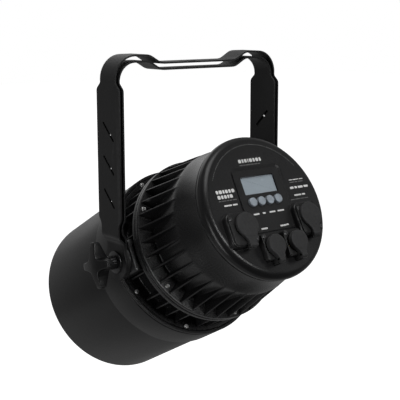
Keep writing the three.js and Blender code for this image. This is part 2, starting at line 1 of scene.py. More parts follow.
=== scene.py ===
"""LED par can on a double hanging yoke: the visual model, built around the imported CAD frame.

Lengths are in millimetres on the head's own axes (x along the tilt axis, s from the tilt axis
towards the control panel, z up) unless a name ends in _M.  The yoke uses the same x and z, untilted.
"""
import itertools
import math

import bmesh
import bpy
from mathutils import Matrix, Vector


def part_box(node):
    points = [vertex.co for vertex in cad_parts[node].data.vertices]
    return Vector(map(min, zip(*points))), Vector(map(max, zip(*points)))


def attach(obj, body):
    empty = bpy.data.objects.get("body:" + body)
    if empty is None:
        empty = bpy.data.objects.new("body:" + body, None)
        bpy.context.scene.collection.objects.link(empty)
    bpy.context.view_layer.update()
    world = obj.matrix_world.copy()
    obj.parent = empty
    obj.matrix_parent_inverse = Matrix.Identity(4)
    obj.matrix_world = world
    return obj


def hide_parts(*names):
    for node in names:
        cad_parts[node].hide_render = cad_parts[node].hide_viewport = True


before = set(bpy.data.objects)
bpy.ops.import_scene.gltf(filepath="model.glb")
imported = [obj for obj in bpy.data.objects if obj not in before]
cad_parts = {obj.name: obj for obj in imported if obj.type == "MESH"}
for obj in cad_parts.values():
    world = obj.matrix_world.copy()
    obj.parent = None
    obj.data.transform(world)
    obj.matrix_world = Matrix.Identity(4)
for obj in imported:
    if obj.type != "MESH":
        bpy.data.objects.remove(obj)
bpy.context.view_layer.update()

# ---- driving dimensions ----------------------------------------------------------------
MM = 0.001
TILT = math.radians(28.85)
washer_low, washer_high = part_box("washer_near")
PIVOT_M = Vector((0.0, (washer_low[1] + washer_high[1]) / 2, (washer_low[2] + washer_high[2]) / 2))
TOP_Z = -PIVOT_M.z / MM + 9.7

SHEET = 2.0
DROP = 9.7
DROP_TOP_X = 73.5
DROP_FOOT_X = 56.7
ARM_WIDTH = 45.9
NECK_WIDTH = 30.4
FOOT_WIDTH = 35.0
FOOT_R = 21.5
FOOT_SHOULDER = (45.4, 53.0)
TOP_SHOULDER = (203.7, 210.7)
SLOT_Z = (155.0, 116.0, 77.0)
SLOT_WIDTH = 3.0
SLOT_LENGTH = 29.8
STUD_R = 4.0
STUD_HOLE_R = 4.4
CLAMP_HOLE_R = 6.5
OUTER = {"arm": 121.0, "foot": 113.6, "jog": (25.0, 31.5), "top": TOP_Z - 1.0, "corner": 27.0}
INNER = {"arm": 115.8, "foot": 111.2, "jog": (31.0, 36.0), "top": TOP_Z - 8.2, "corner": 22.0}

KNOB_TURN = math.radians(15.5)
KNOB_WAIST = (8.1, 8.1)
KNOB_FLANK = ((10.2, 6.9), (13.2, 5.9), (17.5, 5.2), (22.0, 4.8))
KNOB_TIP = ((25.9, 4.4), (27.1, 3.3), (27.6, 1.2))
# stations of the knob along x from the middle of the lamp
KNOB_BACK = 117.0
KNOB_BORE_END = 141.2
KNOB_BORE_R = 4.3
KNOB_FACE = 147.4

TUBE_R = 105.3
TUBE_WALL = 1.2
TUBE_FRONT = -195.0
TUBE_REAR = -55.3
COLLAR_R = 107.2
COLLAR_FRONT = -55.0
COLLAR_REAR = -10.0
FLANGE_R = 100.9
FLANGE_REAR = 39.4
FIN_HALF = 1.1
MID_FINS = 40
MID_FLOOR_R = 86.0
MID_TIP_R = 98.8
BELL_FINS = 36
HOUSING_END = 140.4
CAP_START = 141.5
CAP_FACE = 156.3
CAP_R = 86.4
FLAT_R = 77.8
RIM_ROUND = 8.3

RECESS = {"w": 69.2, "h": 75.0, "z": 6.5, "depth": 1.3, "slope": 4.0}
FILM_FACE = CAP_FACE - RECESS["depth"] + 0.95
WINDOW = {"w": 49.7, "h": 21.3, "z": 25.5}
BUTTON_X = (19.05, 6.35, -6.35, -19.05)
BUTTON_Z = 5.2
BUTTON_HOLE_R = 5.6
BOSS = {"z": -24.5, "h": 40.5, "r": 9.0, "height": 7.2}
BOSS_SPAN = {1: (50.9, 38.8), -1: (-49.2, 35.4)}
POWER = {"x": 49.5, "z": -22.0, "disc": 14.7, "bore": 12.4, "tail": 5.6, "end": -47.0,
         "low": 165.6, "top": 169.9}
DMX = {"x": 16.3, "z": -49.3, "disc": 12.0, "bore": 10.8, "tail": 3.9, "end": -70.2,
       "low": 164.1, "top": 170.4}
CAP_SHIFT = {"power_out": -2.8, "power_in": 0.0, "dmx_in": -1.6, "dmx_out": -2.6}
PLATE_TOP = 165.3
DMX_TOP = 163.8


# ---- materials -------------------------------------------------------------------------
def fill(tree, node, **inputs):
    """Set or link a node's inputs by name, with underscores for spaces; colours get their alpha."""
    for key, value in inputs.items():
        socket = node.inputs[key.replace("_", " ")]
        if isinstance(value, bpy.types.NodeSocket):
            tree.links.new(value, socket)
        elif socket.type == "RGBA":
            socket.default_value = (*value, 1.0)
        else:
            socket.default_value = value
    return node


def add_node(tree, kind, **inputs):
    return fill(tree, tree.nodes.new("ShaderNode" + kind), **inputs)


def principled(name, color, rough, metallic=0.0, **extra):
    """A new material with its node tree and shader."""
    material = bpy.data.materials.new(name)
    material.use_nodes = True
    tree = material.node_tree
    shader = tree.nodes["Principled BSDF"]
    fill(tree, shader, Base_Color=color, Roughness=rough, Metallic=metallic, **extra)
    return material, tree, shader


def tint(color, factor, top=math.inf):
    return tuple(min(c * factor, top) for c in color)


def noise(tree, scale, detail=3.0, rough=0.5, stretch=(1, 1, 1)):
    """Noise on the piece's own coordinates; scale is in features per metre."""
    coords = add_node(tree, "TexCoord").outputs["Object"]
    mapped = add_node(tree, "Mapping", Vector=coords, Scale=stretch).outputs["Vector"]
    texture = add_node(tree, "TexNoise", Vector=mapped, Scale=scale, Detail=detail, Roughness=rough)
    return texture.outputs["Fac"]


def voronoi(tree, scale, feature="F1"):
    coords = add_node(tree, "TexCoord").outputs["Object"]
    texture = add_node(tree, "TexVoronoi", Vector=coords, Scale=scale)
    texture.feature = feature
    return texture.outputs["Distance"]


def remap(tree, fac, low, high, out_low, out_high):
    node = add_node(tree, "MapRange", Value=fac, From_Min=low, From_Max=high,
                    To_Min=out_low, To_Max=out_high)
    return node.outputs["Result"]


def vary(tree, scale, detail, low, high):
    """Noise spread between two levels."""
    return remap(tree, noise(tree, scale, detail), 0.3, 0.7, low, high)


def mixed(tree, fac, color_a, color_b):
    """A colour between two colours; either may be a tuple or a socket."""
    node = add_node(tree, "Mix", Factor=fac)
    node.data_type = "RGBA"
    for socket, color in ((node.inputs[6], color_a), (node.inputs[7], color_b)):
        if isinstance(color, tuple):
            socket.default_value = (*color, 1.0)
        else:
            tree.links.new(color, socket)
    return node.outputs[2]


def edge_wear_and_highlight(tree, base, worn_and_lit):
    """A lighter colour on convex edges, broken up by noise: rubbed wear at small factors, painted
    highlights at large ones.
    """
    edge = remap(tree, add_node(tree, "NewGeometry").outputs["Pointiness"], 0.53, 0.60, 0.0, 1.0)
    patchy = remap(tree, noise(tree, 180, 4), 0.35, 0.65, 0.15, 0.8)
    product = add_node(tree, "Math")
    product.operation = "MULTIPLY"
    product.use_clamp = True
    tree.links.new(edge, product.inputs[0])
    tree.links.new(patchy, product.inputs[1])
    return mixed(tree, product.outputs[0], base, worn_and_lit)


def dress(tree, shader, color, rough, bumps):
    """Link colour and roughness, and chain the bumps given as (socket, depth in metres)."""
    fill(tree, shader, Base_Color=color, Roughness=rough)
    for height, depth in bumps:
        node = add_node(tree, "Bump", Strength=1.0, Distance=depth, Height=height)
        if shader.inputs["Normal"].is_linked:
            tree.links.new(shader.inputs["Normal"].links[0].from_socket, node.inputs["Normal"])
        tree.links.new(node.outputs["Normal"], shader.inputs["Normal"])


def powder_coat(name, color, rough, grain, depth, rubbed_and_highlight=3.2):
    """Satin powder coat: fine orange peel, slow tone changes, lighter convex edges (rubbed wear at small
    factors, painted highlights at large ones).
    """
    material, tree, shader = principled(name, color, rough, IOR=1.5)
    tone = mixed(tree, vary(tree, 22, 4, 0.0, 1.0), tint(color, 0.86), tint(color, 1.14))
    dress(tree, shader, edge_wear_and_highlight(tree, tone, tint(color, rubbed_and_highlight)),
          vary(tree, grain, 2, rough - 0.05, rough + 0.06),
          [(noise(tree, grain, 2), depth), (noise(tree, grain * 0.22, 2), depth * 1.6)])
    return material


def moulded(name, color, rough, grain=2400, depth=0.00002, wear_and_highlight=2.2):
    """Moulded plastic: fine spark-eroded texture, slow tone changes and lighter convex edges (wear at small
    factors, painted highlights at large ones).
    """
    material, tree, shader = principled(name, color, rough, IOR=1.49)
    tone = mixed(tree, vary(tree, 60, 5, 0.0, 1.0), tint(color, 0.85), tint(color, 1.15))
    dress(tree, shader, edge_wear_and_highlight(tree, tone, tint(color, wear_and_highlight, 0.9)),
          vary(tree, 300, 3, rough - 0.06, rough + 0.06), [(voronoi(tree, grain), depth)])
    return material


def rubber(name, color, rough=0.68):
    """Moulded rubber: matt, slightly dusty, fine stipple."""
    material, tree, shader = principled(name, color, rough, IOR=1.5, Sheen_Weight=0.12,
                                        Sheen_Roughness=0.5)
    dust = remap(tree, noise(tree, 140, 6, 0.65), 0.42, 0.75, 0.0, 0.55)
    dress(tree, shader, mixed(tree, dust, color, tint(color, 1.7)),
          vary(tree, 420, 4, rough - 0.08, rough + 0.08),
          [(noise(tree, 1500, 3), 0.00004), (noise(tree, 260, 2), 0.00004)])
    return material


def plated(name, color, rough, stretch=(1, 1, 1)):
    """Plated or brushed metal: fine directional scratches and cloudy patches."""
    material, tree, shader = principled(name, color, rough, metallic=1.0)
    scratch = noise(tree, 900, 4, 0.6, stretch)
    dress(tree, shader, mixed(tree, vary(tree, 210, 5, 0.0, 1.0), tint(color, 0.78), color),
          remap(tree, scratch, 0.3, 0.7, rough - 0.08, rough + 0.12), [(scratch, 0.000015)])
    return material


def clear(name, color, rough, ior, ripple, depth):
    """Glass or acrylic with a faint surface ripple."""
    material, tree, shader = principled(name, color, rough, IOR=ior, Transmission_Weight=1.0)
    smear = remap(tree, noise(tree, 45, 5), 0.35, 0.75, rough, rough + 0.06)
    dress(tree, shader, color, smear, [(noise(tree, ripple, 2), depth)])
    return material


def board(name, color, rough):
    """Circuit board: solder mask over faint copper tracks."""
    material, tree, shader = principled(name, color, rough, IOR=1.5, Coat_Weight=0.3)
    tracks = remap(tree, voronoi(tree, 160, "DISTANCE_TO_EDGE"), 0.0, 0.09, 1.0, 0.0)
    lighter = tuple(min(c * 1.35 + 0.01, 1.0) for c in color)
    dress(tree, shader, mixed(tree, tracks, color, lighter), rough,
          [(tracks, 0.00004), (noise(tree, 1400, 2), 0.00001)])
    return material


def display_glass(name, color):
    """Reflective display, switched off: fine rows of cells under a smooth window."""
    material, tree, shader = principled(name, color, 0.22, IOR=1.5, Coat_Weight=0.5,
                                        Coat_Roughness=0.08)
    coords = add_node(tree, "TexCoord").outputs["Object"]
    upright = add_node(tree, "Mapping", Vector=coords, Rotation=(math.radians(-90), 0, 0))
    cells = add_node(tree, "TexBrick", Vector=upright.outputs["Vector"], Scale=1.0 / 0.0057,
                     Brick_Width=0.5, Row_Height=1.0, Mortar_Size=0.05, Mortar_Smooth=0.4,
                     Color1=color, Color2=tint(color, 0.985), Mortar=tint(color, 1.03))
    cells.offset = 0.0
    cloud = vary(tree, 70, 3, 0.0, 0.25)
    dress(tree, shader, mixed(tree, cloud, cells.outputs["Color"], tint(color, 0.9)),
          vary(tree, 120, 4, 0.18, 0.28), [])
    return material


YOKE_PAINT = powder_coat("yoke_powder_coat", (0.014, 0.014, 0.0145), 0.40, 900, 0.00005)
TUBE_PAINT = powder_coat("tube_powder_coat", (0.012, 0.012, 0.0125), 0.36, 1000, 0.00004)
# castings: edges and fin crests lightened ninefold, a painted highlight along the crests
CAST_PAINT = powder_coat("casting_powder_coat", (0.012, 0.012, 0.0125), 0.29, 760, 0.00004, 9.0)
PANEL_PAINT = powder_coat("panel_powder_coat", (0.0115, 0.0115, 0.012), 0.31, 1300, 0.00003)
# knob: edges lightened eighteenfold, a painted highlight along the knob's outline
NYLON = moulded("knob_nylon", (0.006, 0.006, 0.0064), 0.34, 1800, 0.00004, 18.0)
BLACK_PLASTIC = moulded("connector_plastic", (0.006, 0.006, 0.0062), 0.52)
SOCKET_PLASTIC = moulded("socket_plastic", (0.020, 0.020, 0.021), 0.40)
FILM = moulded("panel_film", (0.014, 0.014, 0.0145), 0.40, 3000, 0.000015, 1.2)
RUBBER = rubber("cap_rubber", (0.024, 0.024, 0.0248))
SEAL_RUBBER = rubber("seal_rubber", (0.014, 0.014, 0.0145), 0.75)
SILICONE = rubber("button_silicone", (0.37, 0.42, 0.47), 0.5)
ZINC = plated("zinc_plate", (0.90, 0.90, 0.89), 0.38, (1, 1, 6))
BLACK_STEEL = plated("black_oxide_steel", (0.17, 0.17, 0.173), 0.30)
SHEET_STEEL = plated("supply_sheet", (0.62, 0.63, 0.64), 0.35, (1, 8, 1))
GOLD_PIN = plated("contact_metal", (0.83, 0.68, 0.36), 0.25)
GLASS = clear("front_window_glass", (0.96, 0.985, 0.98), 0.02, 1.52, 60, 0.00001)
ACRYLIC = clear("lens_acrylic", (0.97, 0.98, 0.99), 0.05, 1.49, 900, 0.00006)
WHITE_BOARD = board("led_board_mask", (0.72, 0.73, 0.71), 0.45)
GREEN_BOARD = board("driver_board_mask", (0.012, 0.085, 0.035), 0.40)
PHOSPHOR = rubber("led_phosphor", (0.78, 0.62, 0.12), 0.55)
DISPLAY = display_glass("display_window", (0.400, 0.470, 0.525))
INK = moulded("white_ink", (0.90, 0.90, 0.89), 0.55, 3500, 0.00001, 1.0)
FAINT_INK = moulded("grey_ink", (0.19, 0.19, 0.19), 0.55, 3500, 0.00001, 1.0)


# ---- mesh tools ------------------------------------------------------------------------
def soft(points, closed=False, steps=4):
    """Round the corners of a line whose points are (a, b) or (a, b, radius)."""
    result = []
    count = len(points)
    for i, point in enumerate(points):
        here = Vector(point[:2])
        radius = point[2] if len(point) > 2 else 0.0
        ends = not closed and i in (0, count - 1)
        if radius <= 0 or ends:
            result.append(tuple(here))
            continue
        before = Vector(points[i - 1][:2])
        after = Vector(points[(i + 1) % count][:2])
        back = before - here
        on = after - here
        start = here + back.normalized() * min(radius, back.length * 0.49)
        stop = here + on.normalized() * min(radius, on.length * 0.49)
        for k in range(steps + 1):
            t = k / steps
            result.append(tuple(start * (1 - t) ** 2 + here * (2 * t * (1 - t)) + stop * t ** 2))
    return result


def circle(r, count, cx=0.0, cz=0.0, first=0.0):
    angles = [first + 2 * math.pi * i / count for i in range(count)]
    return [(cx + r * math.cos(a), cz + r * math.sin(a)) for a in angles]


def round_rect(w, h, r, cx=0.0, cz=0.0, arc=8, straight=1):
    """Rectangle outline with round corners, anticlockwise from the lower right corner."""
    corners = ((w / 2 - r, -h / 2 + r, -90), (w / 2 - r, h / 2 - r, 0),
               (-w / 2 + r, h / 2 - r, 90), (-w / 2 + r, -h / 2 + r, 180))
    outline = []
    for x, z, first in corners:
        for k in range(arc + 1):
            a = math.radians(first + 90 * k / arc)
            outline.append((cx + x + r * math.cos(a), cz + z + r * math.sin(a)))
    if straight == 1:
        return outline
    filled = []
    for i, (x, z) in enumerate(outline):
        filled.append((x, z))
        if i % (arc + 1) == arc:
            nx, nz = outline[(i + 1) % len(outline)]
            for k in range(1, straight):
                filled.append((x + (nx - x) * k / straight, z + (nz - z) * k / straight))
    return filled


def stadium(length, width, angle, cx=0.0, cz=0.0, arc=6):
    outline = []
    for end, first in ((1, -90), (-1, 90)):
        for k in range(arc + 1):
            a = math.radians(first + 180 * k / arc)
            x = end * (length - width) / 2 + width / 2 * math.cos(a)
            z = width / 2 * math.sin(a)
            outline.append((cx + x * math.cos(angle) - z * math.sin(angle),
                            cz + x * math.sin(angle) + z * math.cos(angle)))
    return outline


def inset(outline, distance):
    """Move an anticlockwise outline inwards along its own normals."""
    count = len(outline)
    moved = []
    for i in range(count):
        before = Vector(outline[i - 1])
        here = Vector(outline[i])
        after = Vector(outline[(i + 1) % count])
        a = (here - before).normalized()
        b = (after - here).normalized()
        mean = (a + b).normalized()
        inward = Vector((-mean.y, mean.x))
        stretch = min(1.0 / max(mean.dot(a), 0.3), 2.0)
        moved.append(tuple(here + inward * distance * stretch))
    return moved


class Shape:
    """One piece in the making: closed shells of vertices and faces, each face with a material."""

    def __init__(self, plane="s"):
        self.plane = plane
        self.verts = []
        self.faces = []
        self.mats = []

    def at(self, a, b, h):
        return (a, h, b) if self.plane == "s" else (h, a, b)

    def loft(self, rings, loop=False, mat=0, ends=(True, True)):
        """Join rings of 3D points; a ring of one point is a pole; loop joins last to first."""
        starts = []
        for ring_points in rings:
            starts.append(len(self.verts))
            self.verts.extend(ring_points)
        pairs = list(zip(range(len(rings) - 1), range(1, len(rings))))
        if loop:
            pairs.append((len(rings) - 1, 0))
        for i, j in pairs:
            a, b = starts[i], starts[j]
            na, nb = len(rings[i]), len(rings[j])
            for k in range(max(na, nb)):
                n = (k + 1) % max(na, nb)
                if na == 1:
                    face = (a, b + n, b + k)
                elif nb == 1:
                    face = (a + k, a + n, b)
                else:
                    face = (a + k, a + n, b + n, b + k)
                self.faces.append(face)
                self.mats.append(mat)
        if not loop:
            for wanted, i in ((ends[0], 0), (ends[1], len(rings) - 1)):
                if wanted and len(rings[i]) > 2:
                    self.faces.append(tuple(range(starts[i], starts[i] + len(rings[i]))))
                    self.mats.append(mat)

    def stack(self, layers, mat=0, loop=False, ends=(True, True)):
        """Loft flat outlines given as (outline or single point, height)."""
        self.loft([[self.at(a, b, h) for a, b in outline] for outline, h in layers],
                  loop, mat, ends)

    def lathe(self, profile, sides=160, centre=(0.0, 0.0), mat=0, loop=True):
        """Revolve (radius, height) points; a profile that starts and ends at radius 0 is a solid."""
        layers = []
        for r, h in profile:
            if r <= 1e-6:
                layers.append(([centre], h))
            else:
                layers.append((circle(r, sides, *centre), h))
        self.stack(layers, mat, loop=loop and profile[0][0] > 1e-6)

    def rod(self, r, low, high, sides, centre=(0.0, 0.0)):
        self.lathe([(0.0, low), (r, low), (r, high), (0.0, high)], sides, centre)

    def slab(self, outline, low, high, edge=0.6, low_edge=0.0, mat=0, steps=3):
        """A plate with its upper and, where wanted, its lower edge rounded."""
        quarter = [math.pi / 2 * k / steps for k in range(steps + 1)]
        layers = [(outline, low)]
        if low_edge > 0:
            layers = [(inset(outline, low_edge * (1 - math.sin(a))), low + low_edge * (1 - math.cos(a)))
                      for a in quarter]
        layers += [(inset(outline, edge * (1 - math.cos(a))), high - edge * (1 - math.sin(a)))
                   for a in quarter]
        self.stack(layers, mat)

    def screw(self, place, head_r, head_h, drive="cross", shank=0.0):
        """A pan head with a recessed drive; place is a matrix whose +Z is the head's outward side."""
        sides = 24
        reach = {"cross": 0.55, "hex": 0.5}[drive] * head_r
        recess = []
        for i in range(sides):
            a = 2 * math.pi * i / sides
            if drive == "hex":
                r = reach / math.cos((a + math.pi / 6) % (math.pi / 3) - math.pi / 6)
            else:
                r = reach * (1.0, 0.82, 0.32, 0.32, 0.32, 0.82)[i % 6]
            recess.append((r * math.cos(a), r * math.sin(a)))
        domed = 0.72 if drive == "hex" else 0.35
        profile = ((head_r * 0.97, 0.0), (head_r, head_h * 0.08), (head_r, head_h * domed),
                   (head_r * 0.93, head_h * 0.85), (head_r * 0.74, head_h),
                   (reach * 1.18, head_h * 1.02))
        shells = [[(circle(r, sides), h) for r, h in profile]
                  + [(recess, head_h), (inset(recess, 0.03), head_h * 0.35)]]
        if shank > 0:
            shells.append([(circle(head_r * 0.5, 12), h) for h in (-shank, 0.2)])
        for layers in shells:
            self.loft([[tuple(place @ Vector((a, b, h))) for a, b in outline] for outline, h in layers])


def linked(name, data):
    """A new object in the scene."""
    obj = bpy.data.objects.new(name, data)
    bpy.context.scene.collection.objects.link(obj)
    return obj


def raw_object(name, shape):
    mesh = bpy.data.meshes.new(name)
    mesh.from_pydata([tuple(c * MM for c in v) for v in shape.verts], [], shape.faces)
    mesh.polygons.foreach_set("material_index", shape.mats)
    mesh.validate()
    return linked(name, mesh)


def tidy_mesh(obj, sharp_deg):
    """Merge coincident points, turn every shell's faces outwards and smooth below an angle."""
    work = bmesh.new()
    work.from_mesh(obj.data)
    bmesh.ops.remove_doubles(work, verts=work.verts, dist=1e-6)
    bmesh.ops.dissolve_degenerate(work, edges=work.edges, dist=1e-7)
    bmesh.ops.recalc_face_normals(work, faces=work.faces)
    work.to_mesh(obj.data)
    work.free()
    obj.data.shade_smooth()
    obj.data.set_sharp_from_angle(angle=math.radians(sharp_deg))


HEAD = Matrix.Translation(PIVOT_M) @ Matrix.Rotation(TILT, 4, "X")
YOKE = Matrix.Translation(PIVOT_M)


def piece(name, shape, place, body, materials, nodes=(), sharp_deg=32):
    """Turn a shape into a finished piece on its body."""
    obj = shape if isinstance(shape, bpy.types.Object) else raw_object(name, shape)
    obj.name = name
    obj.data.name = name
    for material in materials if isinstance(materials, (list, tuple)) else [materials]:
        obj.data.materials.append(material)
    tidy_mesh(obj, sharp_deg)
    obj.matrix_world = place
    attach(obj, body)
    if nodes:
        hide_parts(*nodes)
    return obj


def head_piece(name, shape, materials, nodes=(), sharp_deg=32):
    return piece(name, shape, HEAD, "head", materials, nodes, sharp_deg)


def turned_piece(name, points, sides, material, node, steps=4):
    """A head piece revolved from one profile, solid where the profile starts on the axis."""
    shape = Shape()
    shape.lathe(soft(points, closed=points[0][0] > 0, steps=steps), sides)
    head_piece(name, shape, material, (node,))


def boolean(obj, tool_shape, operation):
    """Apply one boolean and drop the tool."""
    tool = raw_object("tool", tool_shape)
    for target in (obj, tool):
        tidy_mesh(target, 30)
    modifier = obj.modifiers.new("cut", "BOOLEAN")
    modifier.operation = operation
    modifier.solver = "EXACT"
    modifier.use_self = True
    modifier.object = tool
    depsgraph = bpy.context.evaluated_depsgraph_get()
    result = bpy.data.meshes.new_from_object(obj.evaluated_get(depsgraph))
    obj.modifiers.clear()
    obj.data = result
    bpy.data.objects.remove(tool)


def soften_edges(obj, width, limit_deg=35):
    modifier = obj.modifiers.new("edges", "BEVEL")
    modifier.width = width * MM
    modifier.segments = 2
    modifier.limit_method = "ANGLE"
    modifier.angle_limit = math.radians(limit_deg)
    modifier.harden_normals = False


def facing(x, s, z, toward=(0, 1, 0)):
    """A matrix at a point in head millimetres whose +Z looks along a direction."""
    turn = Vector(toward).to_track_quat("Z", "Y").to_matrix().to_4x4()
    return Matrix.Translation((x, s, z)) @ turn


def around(count, first_deg, radius):
    angles = [math.radians(first_deg + 360 / count * i) for i in range(count)]
    return [(radius * math.cos(a), radius * math.sin(a)) for a in angles]


# ---- camera, floor and light -----------------------------------------------------------
CAMERA_AT_M = (0.7521, 0.9620, 0.0588)
CAMERA_AZIMUTH = math.radians(141.52)
CAMERA_ELEVATION = math.radians(10.7)
CAMERA_ROLL = math.radians(-0.1)
CAMERA_LENS = 90.2
FLOOR_Z_M = -1.15
FLOOR_HALF_M = 14.0
# where the studio is lightest, and its level from the opposite side to that one
BRIGHT_SIDE = (-0.60, -0.76, 0.26)
STUDIO_LEVELS = ((0.0, 0.035), (0.42, 0.055), (0.60, 0.15), (0.80, 0.26), (1.0, 0.32))
MIDDLE_M = (0.0, 0.0, -0.2)
# name, place, target, size, watts, roll in degrees
LIGHTS = (("softbox_top", (0.2, 0.5, 1.7), MIDDLE_M, (1.3, 1.3), 12, 0),
          ("strip_left", (1.55, 0.25, -0.75), MIDDLE_M, (0.35, 1.3), 6, 0),
          ("strip_right", (-1.5, 1.4, 0.5), MIDDLE_M, (0.5, 1.3), 0.8, 0),
          ("softbox_front", (-0.5, -2.0, 0.6), MIDDLE_M, (1.4, 1.4), 3, 0),
          ("strip_rim", (-0.02, 1.39, 0.30), (0.0, 0.13, -0.16), (0.9, 0.2), 5.5, -40),
          ("softbox_low", (0.35, -0.35, -1.1), MIDDLE_M, (1.2, 1.2), 0.7, 0))


def build_camera():
    data = bpy.data.cameras.new("camera")
    data.lens = CAMERA_LENS
    data.sensor_width = 36.0
    data.clip_end = 50.0
    camera = linked("camera", data)
    level = math.cos(CAMERA_ELEVATION)
    back = Vector((math.sin(CAMERA_AZIMUTH) * level, -math.cos(CAMERA_AZIMUTH) * level,
                   math.sin(CAMERA_ELEVATION)))
    right = Vector((-back.y, back.x, 0)).normalized()
    turn = Matrix((right, back.cross(right), back)).transposed().to_4x4()
    camera.matrix_world = (Matrix.Translation(CAMERA_AT_M) @ turn
                           @ Matrix.Rotation(CAMERA_ROLL, 4, "Z"))
    bpy.context.scene.camera = camera


def area_light(name, place, target, size, power, roll_deg):
    data = bpy.data.lights.new(name, "AREA")
    data.shape = "RECTANGLE"
    data.size, data.size_y = size
    data.energy = power
    light = linked(name, data)
    light.visible_camera = False
    aim = (Vector(target) - Vector(place)).to_track_quat("-Z", "Y").to_matrix().to_4x4()
    roll = Matrix.Rotation(math.radians(roll_deg), 4, "Z")
    light.matrix_world = Matrix.Translation(place) @ aim @ roll


def studio_light(tree):
    """Grey background whose level follows the direction: light behind the lamp, dark in front."""
    coords = add_node(tree, "TexCoord").outputs["Generated"]
    along = add_node(tree, "VectorMath")
    along.operation = "DOT_PRODUCT"
    tree.links.new(coords, along.inputs[0])
    along.inputs[1].default_value = BRIGHT_SIDE
    span = add_node(tree, "MapRange", Value=along.outputs["Value"], From_Min=-1.0)
    ramp = add_node(tree, "ValToRGB", Fac=span.outputs["Result"])
    elements = ramp.color_ramp.elements
    while len(elements) < len(STUDIO_LEVELS):
        elements.new(0.5)
    for element, (spot, level) in zip(elements, STUDIO_LEVELS):
        element.position = spot
        element.color = (level, level, level, 1)
    return add_node(tree, "Background", Color=ramp.outputs["Color"]).outputs["Background"]


def build_stage():
    mesh = bpy.data.meshes.new("floor")
    corners = [(x * FLOOR_HALF_M, y * FLOOR_HALF_M, FLOOR_Z_M)
               for x, y in ((-1, -1), (1, -1), (1, 1), (-1, 1))]
    mesh.from_pydata(corners, [], [(0, 1, 2, 3)])
    floor = linked("floor", mesh)
    material = principled("floor_white", (0.93, 0.93, 0.93), 0.9, Emission_Color=(1, 1, 1),
                          Emission_Strength=1.0)[0]
    floor.data.materials.append(material)
    floor.visible_glossy = False
    floor.visible_diffuse = False

    world = bpy.data.worlds.new("studio")
    bpy.context.scene.world = world
    world.use_nodes = True
    tree = world.node_tree
    seen = fill(tree, tree.nodes["Background"], Color=(1, 1, 1))
    path = add_node(tree, "LightPath")
    mix = add_node(tree, "MixShader", Fac=path.outputs["Is Camera Ray"])
    tree.links.new(studio_light(tree), mix.inputs[1])
    tree.links.new(seen.outputs["Background"], mix.inputs[2])
    fill(tree, tree.nodes["World Output"], Surface=mix.outputs["Shader"])
    for light in LIGHTS:
        area_light(*light)
    view = bpy.context.scene.view_settings
    view.view_transform = "Standard"
    view.look = "None"


build_camera()
build_stage()


# ---- yoke ------------------------------------------------------------------------------
def bracket_line(size):
    """Centre line of the bent sheet, from the right foot over the top to the left foot."""
    arm, foot, top, corner = size["arm"], size["foot"], size["top"], size["corner"]
    half = [(foot, -FOOT_R - 5), (foot, size["jog"][0], 4.0), (arm, size["jog"][1], 4.0)]
    steps = 10
    for i in range(steps + 1):
        a = math.pi / 2 * i / steps
        half.append((arm - corner + corner * math.cos(a), top - corner + corner * math.sin(a)))
    half += [(DROP_TOP_X, top, 5.0), (DROP_FOOT_X, top - DROP, 5.0)]
    mirrored = [(-p[0], *p[1:]) for p in reversed(half)]
    return soft(half + mirrored)


def ribbon(line, thickness):
    """Outline of a sheet of even thickness around its centre line."""
    left, right = [], []
    for i, here in enumerate(line):
        here = Vector(here)
        before = Vector(line[max(i - 1, 0)])
        after = Vector(line[min(i + 1, len(line) - 1)])
        along = ((here - before).normalized() + (after - here).normalized()).normalized()
        step = Vector((-along.y, along.x)) * (thickness / 2)
        left.append(tuple(here + step))
        right.append(tuple(here - step))
    return right + left[::-1]


def arm_outline():
    """The bracket seen from the side: round foot, neck, full-width arm, narrow top."""
    foot, arm, neck = FOOT_WIDTH / 2, ARM_WIDTH / 2, NECK_WIDTH / 2
    start = math.acos(foot / FOOT_R)
    high = TOP_Z + 5
    outline = [(foot, FOOT_SHOULDER[0], 2.0), (arm, FOOT_SHOULDER[1], 3.0), (arm, TOP_SHOULDER[0], 3.0),
               (neck, TOP_SHOULDER[1], 2.0), (neck, high), (-neck, high), (-neck, TOP_SHOULDER[1], 2.0),
               (-arm, TOP_SHOULDER[0], 3.0), (-arm, FOOT_SHOULDER[1], 3.0),
               (-foot, FOOT_SHOULDER[0], 2.0)]
    steps = 28
    for i in range(steps + 1):
        a = math.pi - start + (math.pi + 2 * start) * i / steps
        outline.append((FOOT_R * math.cos(a), FOOT_R * math.sin(a)))
    return soft(outline, closed=True)


def build_bracket(name, node, body, size, slant):
    shape = Shape("s")
    sheet = ribbon(bracket_line(size), SHEET)
    shape.stack([(sheet, -ARM_WIDTH), (sheet, ARM_WIDTH)])
    obj = raw_object(name, shape)
    reach = OUTER["arm"] + 20
    side = Shape("x")
    outline = arm_outline()
    side.stack([(outline, -reach), (outline, reach)])
    boolean(obj, side, "INTERSECT")
    holes = Shape("x")
    outlines = [stadium(SLOT_LENGTH, SLOT_WIDTH, slant * math.pi / 4, 0, z) for z in SLOT_Z]
    outlines.append(circle(STUD_HOLE_R, 40))
    for hole in outlines:
        for low, high in ((100, reach), (-reach, -100)):
            holes.stack([(hole, low), (hole, high)])
    clamp = circle(CLAMP_HOLE_R, 48)
    floor = size["top"] - DROP
    holes.loft([[(a, b, floor - 8) for a, b in clamp], [(a, b, floor + 8) for a, b in clamp]])
    boolean(obj, holes, "DIFFERENCE")
    piece(name, obj, YOKE, body, YOKE_PAINT, (node,))
    soften_edges(obj, 0.35)


build_bracket("yoke_outer_sheet", "outer_bracket", "outer_yoke", OUTER, -1)
build_bracket("yoke_inner_sheet", "inner_bracket", "inner_yoke", INNER, 1)


